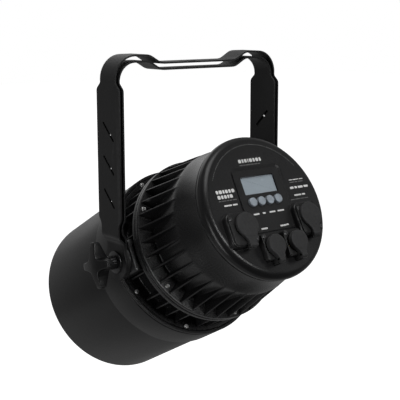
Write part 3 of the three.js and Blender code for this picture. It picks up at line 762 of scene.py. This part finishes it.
# ---- clamping knobs --------------------------------------------------------------------
def knob_outline(scale=1.0, shrink=0.0, ribs=0.0, steps=6):
    """Four tapering lobes joined by deep scallops; ribs cuts fine grip grooves into the tips."""
    half = [KNOB_WAIST, *KNOB_FLANK, *KNOB_TIP]
    side = []
    for (u0, w0), (u1, w1) in zip(half, half[1:]):
        side += [(u0 + (u1 - u0) * k / steps, w0 + (w1 - w0) * k / steps) for k in range(steps)]
    tip = [(half[-1][0], half[-1][1] * (1 - k / steps)) for k in range(2 * steps + 1)]
    lobe = [(u, -w) for u, w in side + tip] + [(u, w) for u, w in reversed(side[1:])]
    points = []
    for quarter in range(4):
        turn = KNOB_TURN + math.pi / 2 * quarter
        for u, w in lobe:
            u -= ribs * (0.5 + 0.5 * math.cos(4.2 * w)) if u > KNOB_TIP[0][0] else 0.0
            points.append(((u * math.cos(turn) - w * math.sin(turn)) * scale,
                           (u * math.sin(turn) + w * math.cos(turn)) * scale))
    return inset(points, shrink) if shrink > 0 else points


def fluted(r, depth, flutes, count):
    points = []
    for i in range(count):
        a = 2 * math.pi * i / count + KNOB_TURN - math.pi / 4
        rr = r - depth * (0.5 - 0.5 * math.cos(flutes * a)) ** 2
        points.append((rr * math.cos(a), rr * math.sin(a)))
    return points


def build_knob(shape):
    """Star knob seen along x: fluted nut at the bracket, lobes thinning outwards, crowned face."""
    count = len(knob_outline())

    def crowned(outline, drop=0.0):
        return [(KNOB_FACE - drop - 4.4 * min(math.hypot(y, z) / 27.5, 1.0) ** 1.6, y, z)
                for y, z in outline]

    def backed(outline, lift=0.0):
        return [(129.4 + lift + 6.2 * min(max(math.hypot(y, z) - 10.0, 0.0) / 17.5, 1.0), y, z)
                for y, z in outline]

    rings = [[(KNOB_BORE_END, 0.0, 0.0)]]
    rings += [[(x, y, z) for y, z in fluted(r, depth, 14, count)] for r, depth, x in (
        (KNOB_BORE_R, 0.0, KNOB_BORE_END), (KNOB_BORE_R, 0.0, KNOB_BACK), (7.4, 0.0, KNOB_BACK),
        (8.2, 0.7, 117.8), (8.2, 0.7, 124.6), (7.6, 0.0, 125.4), (7.6, 0.0, 126.6),
        (8.3, 0.0, 127.6), (8.5, 0.0, 129.0))]
    rings += [backed(knob_outline(shrink=2.0), 4.6), backed(knob_outline(shrink=1.7), 0.5),
              backed(knob_outline(shrink=1.4)), backed(knob_outline(shrink=0.6)),
              backed(knob_outline(shrink=0.15, ribs=0.3), 0.5), backed(knob_outline(ribs=0.5), 1.3)]
    rings += [crowned(knob_outline(ribs=0.5), 1.6), crowned(knob_outline(shrink=0.2, ribs=0.3), 0.7),
              crowned(knob_outline(shrink=0.6), 0.2), crowned(knob_outline(shrink=1.1))]
    rings += [crowned(knob_outline(scale)) for scale in (0.8, 0.6, 0.45, 0.3, 0.15)]
    rings.append([(KNOB_FACE, 0.0, 0.0)])
    shape.loft(rings)


def build_stud(shape):
    """Threaded stud: one helical ridge along a rod."""
    pitch, depth, sides, per_turn = 1.25, 0.55, 28, 5
    low, high = 97.0, 140.4
    steps = int((high - low) / pitch * per_turn)
    rings = [[(low - 1.0, 0.0, 0.0)]]
    for i in range(steps + 1):
        x = low + (high - low) * i / steps
        points = []
        for k in range(sides):
            a = 2 * math.pi * k / sides
            phase = (x / pitch + k / sides) % 1.0
            r = STUD_R - depth * abs(2 * phase - 1)
            points.append((x, r * math.cos(a), r * math.sin(a)))
        rings.append(points)
    rings.append([(high + 0.6, 0.0, 0.0)])
    shape.loft(rings)


def build_pivots():
    for side, mirror in (("near", Matrix.Identity(4)), ("far", Matrix.Rotation(math.pi, 4, "Z"))):
        place = YOKE @ mirror
        knob = Shape("x")
        build_knob(knob)
        piece(f"knob_{side}_star", knob, place, f"clamp_knob_{side}", NYLON,
              (f"knob_{side}",), 38)
        washer = Shape("x")
        washer.lathe(soft([(STUD_HOLE_R, 114.9, 0.3), (13.3, 114.9, 0.4), (13.3, 116.7, 0.5),
                           (STUD_HOLE_R, 116.7, 0.3)], closed=True, steps=2), 72)
        piece(f"washer_{side}_ring", washer, place, f"clamp_washer_{side}", BLACK_STEEL,
              (f"washer_{side}",))
        stud = Shape("x")
        build_stud(stud)
        piece(f"stud_{side}_thread", stud, place, "head", ZINC, (f"pivot_stud_{side}",), 20)
        pad = Shape("x")
        pad.lathe(soft([(STUD_HOLE_R, 107.3), (19.9, 107.3, 0.5), (20.0, 109.9, 0.6),
                        (STUD_HOLE_R, 109.9)], closed=True, steps=3), 96)
        piece(f"pad_{side}_disc", pad, place, "head", SEAL_RUBBER, (f"pivot_pad_{side}",))


build_pivots()


# ---- head shells -----------------------------------------------------------------------
def build_tube():
    inner = TUBE_R - TUBE_WALL
    lip = TUBE_R - 3.2
    rear = TUBE_REAR - 0.8
    turned_piece("hood_tube", [
        (TUBE_R, rear, 0.25), (TUBE_R, TUBE_FRONT, 1.1), (lip, TUBE_FRONT, 1.1),
        (lip, TUBE_FRONT + 3.6, 0.9), (inner, TUBE_FRONT + 4.4, 0.4), (inner, rear, 0.3),
    ], 240, TUBE_PAINT, "front_tube")
    spigot = 103.7
    groove = COLLAR_R - 0.9
    turned_piece("collar_band", [
        (101.2, -72.0), (spigot, -72.0, 0.4), (spigot, COLLAR_FRONT), (COLLAR_R, COLLAR_FRONT, 0.3),
        (COLLAR_R, -15.2, 0.3), (groove, -14.4, 0.3), (groove, -13.6, 0.3), (COLLAR_R, -12.8, 0.4),
        (COLLAR_R, COLLAR_REAR, 0.9), (spigot, COLLAR_REAR, 0.4), (spigot, -53.0), (97.0, -53.0),
        (97.0, -57.0, 0.5), (101.2, -57.0),
    ], 240, TUBE_PAINT, "collar", steps=3)


def finned(stations, fins, half, root, tip_round, arc):
    """Rings of a casting with straight fins; stations are (s, floor radius, tip radius)."""
    rings = []
    count = len(fins)
    pitch = 2 * math.pi / count
    for s, floor, tip in stations:
        ring_points = []
        for angle, present in fins:
            top = tip if present else floor
            height = max(top - floor, 0.0)
            share = min(1.0, height / (root + tip_round))
            low, crown = root * share, tip_round * share
            side = [(floor, half + root), (floor + 0.3 * low, half + 0.3 * root), (floor + low, half),
                    (top - crown, half - 0.15), (top - 0.3 * crown, half - 0.15 - 0.3 * tip_round),
                    (top, half - 0.15 - tip_round)]
            points = [(rho, -t) for rho, t in side] + [(rho, t) for rho, t in reversed(side)]
            for rho, t in points:
                radial = math.sqrt(max(rho * rho - t * t, 0.0))
                ring_points.append((radial * math.cos(angle) - t * math.sin(angle), s,
                                    radial * math.sin(angle) + t * math.cos(angle)))
            edge = math.asin((half + root) / floor)
            for k in range(1, arc + 1):
                a = angle + edge + (pitch - 2 * edge) * k / (arc + 1)
                ring_points.append((floor * math.cos(a), s, floor * math.sin(a)))
        rings.append(ring_points)
    return rings


def plain(s, r):
    return (s, r, r)


def mid_fins():
    """Angle of each fin and whether it is there: none at the pivots and the eight collar screws."""
    fins = []
    for i in range(MID_FINS):
        angle = 360 / MID_FINS * (i + 0.5)
        near_pivot = abs((angle + 90) % 180 - 90) < 12
        at_screw = abs((angle + 45) % 45 - 22.5) < 1
        fins.append((math.radians(angle), not near_pivot and not at_screw))
    return fins


def build_mid_housing():
    shape = Shape()
    stations = [plain(-17.6, 102.8), plain(-10.5, 102.8), plain(-10.0, 102.3), plain(-10.0, 88.5),
                (-9.6, 87.0, 95.0), (-9.2, 86.4, 96.0), (-8.4, MID_FLOOR_R, 97.2),
                (-7.4, MID_FLOOR_R, 98.1), (-6.2, MID_FLOOR_R, 98.7), (-5.0, MID_FLOOR_R, MID_TIP_R),
                (24.6, MID_FLOOR_R, MID_TIP_R), (25.5, 86.4, MID_TIP_R), (26.0, 87.4, MID_TIP_R),
                plain(26.0, 100.1), plain(26.2, 100.6), plain(26.8, FLANGE_R), plain(31.6, FLANGE_R),
                plain(32.1, 100.7), plain(32.3, 100.2), plain(32.3, 80.5), plain(-8.0, 80.5),
                plain(-17.6, 80.5)]
    shape.loft(finned(stations, mid_fins(), FIN_HALF, 1.0, 0.5, 2), loop=True)
    shape.rod(80.6, -17.6, -8.0, 96)
    for side in (1, -1):
        outer = round_rect(26, 39, 4, side * 92, 0, arc=6)
        groove = round_rect(4.6, 26, 2.29, side * 97.5, 0, arc=6)
        shape.stack([(outer, -9.6), (outer, 20.6), (inset(outer, 0.4), 21.6), (inset(outer, 1.4), 22.0),
                     (inset(groove, -0.7), 22.0), (groove, 21.4), (groove, 15.5)])
    shape.plane = "x"
    for side in (1, -1):
        ends = soft([(0.0, 100.0), (19.0, 100.0), (19.0, 107.0, 1.2), (0.0, 107.0)])
        shape.lathe([(r, side * x) for r, x in ends], 72)
    head_piece("mid_casting", shape, CAST_PAINT, ("front_housing",))


def build_bell():
    shape = Shape()
    fins = [(math.radians(360 / BELL_FINS * (i + 0.5)), True) for i in range(BELL_FINS)]
    stations = [plain(33.5, 100.2), plain(33.7, 100.7), plain(34.2, FLANGE_R), plain(38.6, FLANGE_R),
                plain(39.2, 100.6), plain(FLANGE_REAR, 100.0), (FLANGE_REAR, 81.5, 99.9),
                (39.9, 80.4, 99.8), (40.8, 80.0, 99.6), (44.6, 80.0, 98.9), (45.6, 80.4, 98.7),
                (47.0, 83.6, 98.5),
                (48.2, 84.15, 98.3), (57.0, 84.9, 96.8), (66.0, 85.7, 95.2), (78.0, 86.9, 93.2),
                (90.0, 88.0, 91.2), (96.0, 88.55, 90.1), (100.0, 88.9, 89.2), plain(102.5, 88.7),
                plain(106.0, 88.1), plain(112.0, 86.9), plain(119.0, 85.8), plain(128.0, 85.0),
                plain(136.0, 85.1), plain(139.6, 85.3), plain(HOUSING_END, 84.7), plain(HOUSING_END, 80.0),
                plain(118.0, 77.8), plain(33.5, 77.8)]
    shape.loft(finned(stations, fins, FIN_HALF, 1.1, 0.5, 4), loop=True)
    head_piece("bell_casting", shape, CAST_PAINT, ("rear_housing",))


build_tube()
build_mid_housing()
build_bell()


def build_small_fasteners():
    """Screws of the collar, the pivot grooves and the two flanges."""
    collar = Shape()
    for x, z in around(8, 22.5, 99.9):
        collar.screw(facing(x, COLLAR_REAR, z), 3.0, 2.2, shank=4.0)
    for side in (1, -1):
        collar.screw(facing(side * 97.5, 15.4, 0.0), 2.1, 1.6)
    head_piece("collar_screws", collar, ZINC)
    for i, (x, z) in enumerate(around(6, 30, 95.5), start=1):
        ring_screw = Shape()
        ring_screw.screw(facing(x, FLANGE_REAR + 0.05, z), 3.1, 3.0, "hex", shank=12.0)
        head_piece(f"flange_screw_{i}", ring_screw, ZINC, (f"ring_screw_{i}",), 25)


build_small_fasteners()


# ---- control panel ---------------------------------------------------------------------
def build_rear_cap():
    """Rim, flat and recess as one surface, then the two bosses; bores are cut through."""
    opening = round_rect(RECESS["w"] + 2 * RECESS["slope"], RECESS["h"] + 2 * RECESS["slope"], 8,
                         0, RECESS["z"], arc=10, straight=34)
    angles = [math.atan2(z - RECESS["z"], x) for x, z in opening]

    def rim(r, s):
        points = []
        for a in angles:
            ux, uz = math.cos(a), math.sin(a)
            along = uz * RECESS["z"]
            reach = -along + math.sqrt(along * along + r * r - RECESS["z"] ** 2)
            points.append((ux * reach, RECESS["z"] + uz * reach))
        return (points, s)

    rim_profile = soft([(80.5, CAP_START), (85.4, CAP_START, 0.5), (86.1, CAP_START + 2.5, 0.8),
                        (CAP_R, CAP_START + 4.0, 1.2), (CAP_R - 0.2, CAP_FACE - RIM_ROUND - 0.4)], steps=4)
    for k in range(15):
        a = math.pi / 2 * k / 14
        rim_profile.append((FLAT_R + RIM_ROUND * math.cos(a), CAP_FACE - RIM_ROUND * (1 - math.sin(a))))
    rim_profile.append((FLAT_R - 0.5, CAP_FACE))
    layers = [rim(76.0, CAP_FACE - 7.0), rim(80.5, CAP_FACE - 7.0)]
    layers += [rim(r, s) for r, s in rim_profile]
    depth, slope = RECESS["depth"], RECESS["slope"]
    layers += [(inset(opening, d), CAP_FACE - drop) for d, drop in (
        (-0.5, 0.0), (0.1, 0.03), (0.7, 0.25), (slope - 0.6, depth - 0.25), (slope, depth - 0.02),
        (slope + 0.8, depth), (slope + 0.8, depth + 1.2))]
    shape = Shape()
    shape.stack(layers)
    for side in (1, -1):
        centre, width = BOSS_SPAN[side]
        outline = round_rect(width, BOSS["h"], BOSS["r"], centre, BOSS["z"], arc=10)
        top = CAP_FACE + BOSS["height"]
        steps = [(-1.2, CAP_FACE - 2.6), (-1.2, CAP_FACE + 0.02), (-0.5, CAP_FACE + 0.15),
                 (-0.1, CAP_FACE + 0.6), (0.0, CAP_FACE + 1.4), (0.1, top - 2.2)]
        for k in range(6):
            a = math.pi / 2 * k / 5
            steps.append((0.1 + 2.2 * (1 - math.cos(a)), top - 2.2 * (1 - math.sin(a))))
        shape.stack([(inset(outline, d) if d else outline, s) for d, s in steps])
    obj = raw_object("panel_cap", shape)
    tools = Shape()
    for side in (1, -1):
        for port in (POWER, DMX):
            tools.rod(port["bore"], 140.0, 172.0, 64, (side * port["x"], port["z"]))
    for x in BUTTON_X:
        tools.rod(BUTTON_HOLE_R + 0.05, 140.0, 172.0, 32, (x, BUTTON_Z))
    window = round_rect(WINDOW["w"] + 0.6, WINDOW["h"] + 0.6, 1.0, 0, WINDOW["z"], arc=3)
    tools.stack([(window, 140.0), (window, 172.0)])
    boolean(obj, tools, "DIFFERENCE")
    head_piece("panel_cap", obj, PANEL_PAINT, ("rear_cap",), 24)


def build_film():
    """The printed film in the recess, with its openings."""
    film = Shape()
    outline = round_rect(RECESS["w"] - 0.8, RECESS["h"] - 0.8, 3.5, 0, RECESS["z"])
    film.slab(outline, FILM_FACE - 0.8, FILM_FACE, 0.2)
    obj = raw_object("panel_film", film)
    tools = Shape()
    for x in BUTTON_X:
        tools.rod(BUTTON_HOLE_R, 150.0, 160.0, 40, (x, BUTTON_Z))
    window = round_rect(WINDOW["w"], WINDOW["h"], 0.8, 0, WINDOW["z"], arc=3)
    tools.stack([(window, 150.0), (window, 160.0)])
    for side in (1, -1):
        corner = round_rect(26.6, 31.6, 3, side * DMX["x"], DMX["z"], arc=4)
        tools.stack([(corner, 150.0), (corner, 160.0)])
    boolean(obj, tools, "DIFFERENCE")
    head_piece("panel_film", obj, FILM, ("control_overlay",))


def build_display():
    shape = Shape()
    shape.slab(round_rect(66, 52, 2, 0, 18, arc=4), 143.0, 144.6, 0.2, mat=1)
    glass_top = CAP_FACE - 2.3
    frame_outline = round_rect(WINDOW["w"] - 0.3, WINDOW["h"] - 0.3, 0.8, 0, WINDOW["z"], arc=4)
    active = inset(frame_outline, 0.9)
    shape.stack([(frame_outline, 144.4), (frame_outline, glass_top - 0.2),
                 (inset(frame_outline, 0.2), glass_top), (active, glass_top)], mat=2, ends=(True, False))
    shape.stack([(active, glass_top), (inset(active, 0.05), glass_top - 0.05)], ends=(False, True))
    head_piece("display_unit", shape, [DISPLAY, GREEN_BOARD, SILICONE],
          ("display_module",))


def build_buttons():
    for i, x in enumerate(BUTTON_X, start=1):
        top = CAP_FACE + 3.0
        shape = Shape()
        profile = soft([(0.0, 146.0), (2.0, 146.0), (2.0, 149.6, 0.6), (5.2, 150.3, 0.3),
                        (5.25, top - 0.3, 0.9), (4.2, top, 0.6), (2.6, top - 0.12, 1.0), (0.0, top - 0.22)])
        shape.lathe(profile, 48, (x, BUTTON_Z))
        piece(f"button_{i}_key", shape, HEAD, f"key_{i}", SILICONE, (f"button_{i}",))


build_rear_cap()
build_film()
build_display()
build_buttons()


# ---- panel marks: plain strokes only ---------------------------------------------------
def build_marks():
    """Generic printed blocks where a panel carries its legends; none of them is a letter."""
    face = CAP_FACE + 0.02
    white, grey = Shape(), Shape()

    def stroke(shape, x, z, w, h, level):
        shape.slab(round_rect(w, h, min(w, h) * 0.3, x, z, arc=2), level - 0.1, level + 0.05, 0.02, steps=1)

    for shape, x_left, x_right, z, h, widths, gap in (
            (white, 20.0, -18.0, 55.0, 4.4, (4.2, 2.6, 3.6, 1.4, 4.6, 3.0), 1.1),
            (grey, 20.0, -18.0, 50.0, 1.0, (5.0, 3.0, 7.0, 4.0), 0.8),
            (white, 65.5, 38.0, 22.4, 4.2, (3.2, 4.4, 2.6, 3.8), 1.0),
            (white, 65.5, 41.0, 16.4, 4.2, (4.4, 3.0, 3.8, 2.4), 1.0),
            (grey, 65.5, 38.0, 11.8, 0.9, (4.0, 6.0, 3.0), 0.8),
            (white, 60.0, 40.0, 6.0, 1.9, (11.0, 7.0), 1.3),
            (white, -45.5, -68.0, 25.0, 1.0, (5.0, 9.0, 6.0), 1.0),
            (grey, -45.5, -68.0, 22.0, 1.0, (7.0, 4.0, 8.0), 1.0),
            (white, -43.0, -72.0, 15.4, 2.6, (6.0, 4.0, 8.0, 7.0), 1.3),
            (white, -46.0, -66.0, 6.0, 1.9, (11.0, 5.0), 1.3),
            (grey, -38.5, -74.0, 1.2, 0.9, (6.0, 8.0, 5.0), 0.9)):
        x = x_left
        for w in itertools.cycle(widths):
            if x - w < x_right:
                break
            stroke(shape, x - w / 2, z, w, h, face)
            x -= w + gap
    for x, z, w in ((18.4, -8.8, 8.6), (7.0, -8.8, 4.4), (-5.6, -8.8, 8.8), (-18.4, -8.8, 10.0),
                    (14.0, -26.6, 9.5), (-16.3, -26.6, 13.0)):
        stroke(white, x, z, w, 1.9, FILM_FACE + 0.02)
    arc_r, count = 74.2, 58
    for k in range(count):
        a = math.radians(30 + 115 * k / (count - 1))
        length = 1.9 if k % 5 else 1.1
        outline = stadium(length, 0.8, a + math.pi / 2, arc_r * math.cos(a), arc_r * math.sin(a), arc=2)
        grey.slab(outline, face - 0.1, face + 0.05, 0.02, steps=1)
    head_piece("panel_marks_white", white, INK)
    head_piece("panel_marks_grey", grey, FAINT_INK)


build_marks()


# ---- connectors ------------------------------------------------------------------------
def cap_outline(port, x, arc=40):
    """Round cap that runs into a tapering strap down to the hinge end."""
    z, r, tail = port["z"], port["disc"], port["tail"]
    half = (port["top"] - port["low"]) / 2
    hinge = port["end"] + half
    join = math.radians(-52)
    outline = []
    for k in range(arc + 1):
        a = join + (math.pi - 2 * join) * k / arc
        outline.append((x + r * math.cos(a), z + r * math.sin(a)))
    neck_z = z + r * math.sin(join) - 0.30 * r
    outline.append((x - tail - 0.9, neck_z))
    outline.append((x - tail, neck_z - 2.2))
    outline.append((x - tail, hinge + 0.2))
    outline.append((x + tail, hinge + 0.2))
    outline.append((x + tail, neck_z - 2.2))
    outline.append((x + tail + 0.9, neck_z))
    return outline, hinge, half


def build_cap(name, port, side):
    """Rubber sealing cap: crowned disc with a grip rim, strap and rolled hinge."""
    shape = Shape()
    x = side * port["x"] + CAP_SHIFT[name]
    outline, hinge, half = cap_outline(port, x)
    low, top = port["low"], port["top"]
    z, r = port["z"], port["disc"]
    shape.slab(outline, low, top - 0.35, 0.9, 0.3, steps=4)
    crown = soft([(r - 0.6, low + 1.0), (r - 0.6, top - 0.6, 0.5), (r - 1.6, top - 0.12, 1.0),
                  (r * 0.5, top, 2.0), (0.0, top)])
    shape.lathe([(0.0, low + 1.0)] + crown, 72, (x, z))
    plug = soft([(0.0, low + 0.3), (port["bore"] - 3.2, low + 0.3), (port["bore"] - 3.2, low - 2.6, 0.4),
                 (port["bore"] - 4.6, low - 2.8, 0.3), (0.0, low - 2.8)])
    if port is POWER:
        shape.lathe(plug, 48, (side * port["x"], z))
    shape.plane = "x"
    ends = sorted((x - port["tail"], x + port["tail"]))
    barrel = soft([(0.0, ends[0]), (half, ends[0], 0.6), (half, ends[1], 0.6), (0.0, ends[1])])
    shape.lathe(barrel, 28, (low + half, hinge))
    piece(f"{name}_seal", shape, HEAD, f"{name}_lid", RUBBER, (f"{name}_cap",), 36)


def build_plate(name, port, side):
    """Connector flange with its bore, the anchor of the cap's strap and two screws."""
    x, z, bore = side * port["x"], port["z"], port["bore"]
    if port is POWER:
        centre, width = BOSS_SPAN[side]
        plate_z, top = BOSS["z"], PLATE_TOP
        outline = round_rect(width - 4.8, 36, 5, centre, plate_z, arc=8, straight=12)
        low = top - 1.5
        edge = ((0.0, 0.5), (0.15, 0.15), (0.5, 0.0))
        lip, sunk = bore * 1.05, 0.4
        foot = plate_z - BOSS["h"] / 2 - 0.3
        screw_at, screw_r, screw_h = (width / 2 - 5.1, 12.6), 2.1, 1.0
    else:
        centre, plate_z, top = x, z, DMX_TOP
        outline = round_rect(26, 31, 3, x, z, arc=8, straight=12)
        low = CAP_FACE + 0.3
        edge = ((0.25, 0.8), (0.45, 0.3), (1.0, 0.0))
        lip, sunk = bore + 0.6, 0.5
        foot = z - 13.5
        screw_at, screw_r, screw_h = (9.5, 12.0), 2.6, 1.3
    angles = [math.atan2(pz - z, px - x) for px, pz in outline]

    def ring(r):
        return [(x + r * math.cos(a), z + r * math.sin(a)) for a in angles]

    flange = Shape()
    layers = [(ring(bore), low), (outline, low)]
    layers += [(inset(outline, d) if d > 0 else outline, top - drop) for d, drop in edge]
    flange.stack(layers + [(ring(lip), top), (ring(bore), top - sunk)], loop=True)
    strap_x, tail, end = x + CAP_SHIFT[name], 2 * port["tail"], port["end"] + 0.2
    if port is POWER:
        tongue = round_rect(tail, 8.0, 0.6, strap_x, foot + 0.3, arc=3)
        flange.slab(tongue, low + 0.05, top - 0.02, 0.3)
        anchor = round_rect(tail, foot - end, 0.6, strap_x, (end + foot) / 2, arc=3)
        flange.slab(anchor, CAP_FACE + 0.3, top, 0.5)
    else:
        anchor = round_rect(tail, foot - end, 0.8, strap_x, (end + foot) / 2, arc=3)
        flange.slab(anchor, low, top - 0.02, 0.5)
    head_piece(f"{name}_plate", flange, BLACK_PLASTIC, (f"{name}_flange",))
    screws = Shape()
    for sign in (1, -1):
        place = facing(centre + sign * screw_at[0], top - 0.05, plate_z + sign * screw_at[1])
        screws.screw(place, screw_r, screw_h)
    head_piece(f"{name}_screws", screws, BLACK_STEEL)


def build_socket(name, port, side, male):
    """Contact barrel: a keyed shell with three pins standing in a well, or three holes in a core."""
    centre = (side * port["x"], port["z"])
    r = port["bore"] - 0.4
    base, face = CAP_FACE - 20, CAP_FACE - 0.5
    shape = Shape()
    shell = soft([(0.0, base), (r, base), (r, face, 0.4), (r - 1.6, face, 0.4), (r - 1.6, face - 9.0, 0.3),
                  (0.0, face - 9.0)])
    shape.lathe(shell, 64, centre)
    if not male:
        core = soft([(0.0, face - 9.2), (r - 2.6, face - 9.2), (r - 2.6, face - 0.3, 0.5),
                     (0.0, face - 0.3)])
        shape.lathe(core, 48, centre)
    for dx, dz in around(3, 90, 4.5):
        spot = (centre[0] + dx, centre[1] + dz)
        if male:
            pin = soft([(0.0, face - 9.2), (1.15, face - 9.2), (1.15, face - 1.2, 0.9), (0.0, face - 0.8)])
            shape.lathe(pin, 20, spot, mat=1)
        else:
            rim = soft([(0.0, face - 0.5), (1.9, face - 0.5), (1.9, face - 0.15, 0.15), (1.3, face - 0.15),
                        (1.2, face - 0.42), (0.0, face - 0.42)])
            shape.lathe(rim, 20, spot, mat=1)
    key = round_rect(2.4, 2.0, 0.4, centre[0], centre[1] + r - 2.2, arc=2)
    shape.slab(key, face - 8.0, face - 0.2, 0.2)
    head_piece(f"{name}_contacts", shape, [SOCKET_PLASTIC, GOLD_PIN],
          (f"{name}_socket",))


for port_name, port_size, port_side, is_male in (
        ("power_out", POWER, 1, False), ("power_in", POWER, -1, True),
        ("dmx_in", DMX, 1, True), ("dmx_out", DMX, -1, False)):
    build_plate(port_name, port_size, port_side)
    build_socket(port_name, port_size, port_side, is_male)
    build_cap(port_name, port_size, port_side)


# ---- front window and optics -----------------------------------------------------------
LENS_SPOTS = around(9, 90, 69) + around(3, 90, 25.5)


def build_front():
    turned_piece("window_ring", [(95.5, -63.4), (95.5, -66.4, 0.7), (100.8, -66.4, 0.7), (100.8, -63.4)],
                 200, TUBE_PAINT, "glass_ring")
    screws = Shape()
    for x, z in around(8, 0, 98.1):
        screws.screw(facing(x, -66.35, z, (0, -1, 0)), 2.0, 1.1)
    head_piece("window_ring_screws", screws, ZINC)
    turned_piece("window_glass", [(0.0, -63.1), (100.6, -63.1, 0.4), (100.6, -59.1, 0.4), (0.0, -59.1)],
                 160, GLASS, "front_glass")

    plate = Shape()
    plate.lathe(soft([(0.0, -43.0), (94.0, -43.0, 0.3), (94.0, -45.5, 0.6), (0.0, -45.5)]), 160)
    obj = raw_object("lens_cover", plate)
    holes = Shape()
    for spot in LENS_SPOTS:
        holes.rod(17.9, -50.0, -38.0, 48, spot)
    boolean(obj, holes, "DIFFERENCE")
    head_piece("lens_cover", obj, BLACK_PLASTIC, ("lens_plate",))

    lenses = Shape()
    profile = soft([(0.0, -46.3), (6.0, -46.1, 3.0), (17.0, -45.9, 0.3), (17.4, -45.5, 0.3),
                    (17.4, -43.9, 0.3), (12.6, -34.5, 6.0), (6.2, -23.6, 0.4), (3.8, -23.6, 0.3),
                    (3.4, -28.0, 1.0), (0.0, -28.8)])
    for spot in LENS_SPOTS:
        lenses.lathe(profile, 48, spot)
    head_piece("lens_set", lenses, ACRYLIC, tuple(f"lens_{i}" for i in range(1, 13)))

    led = Shape()
    led.lathe(soft([(0.0, -18.35), (93.0, -18.35), (93.0, -20.1, 0.2), (0.0, -20.1)]), 120)
    for x, z in LENS_SPOTS:
        base = round_rect(7.0, 7.0, 0.8, x, z, arc=3)
        led.stack([(base, -20.0), (base, -21.2), (inset(base, 0.3), -21.4)], mat=0)
        led.lathe([(0.0, -21.3), (2.6, -21.3), (2.2, -22.3), (1.2, -22.8), (0.0, -22.9)], 24, (x, z), mat=1)
    head_piece("led_panel", led, [WHITE_BOARD, PHOSPHOR], ("led_board",))


build_front()


# ---- carried-over CAD nodes ------------------------------------------------------------
for node_name, material in (("flange_gasket", SEAL_RUBBER), ("cap_gasket", SEAL_RUBBER),
                            ("glass_gasket", SEAL_RUBBER), ("power_supply", SHEET_STEEL),
                            ("driver_board", GREEN_BOARD)):
    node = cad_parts[node_name]
    node.data.materials.clear()
    node.data.materials.append(material)
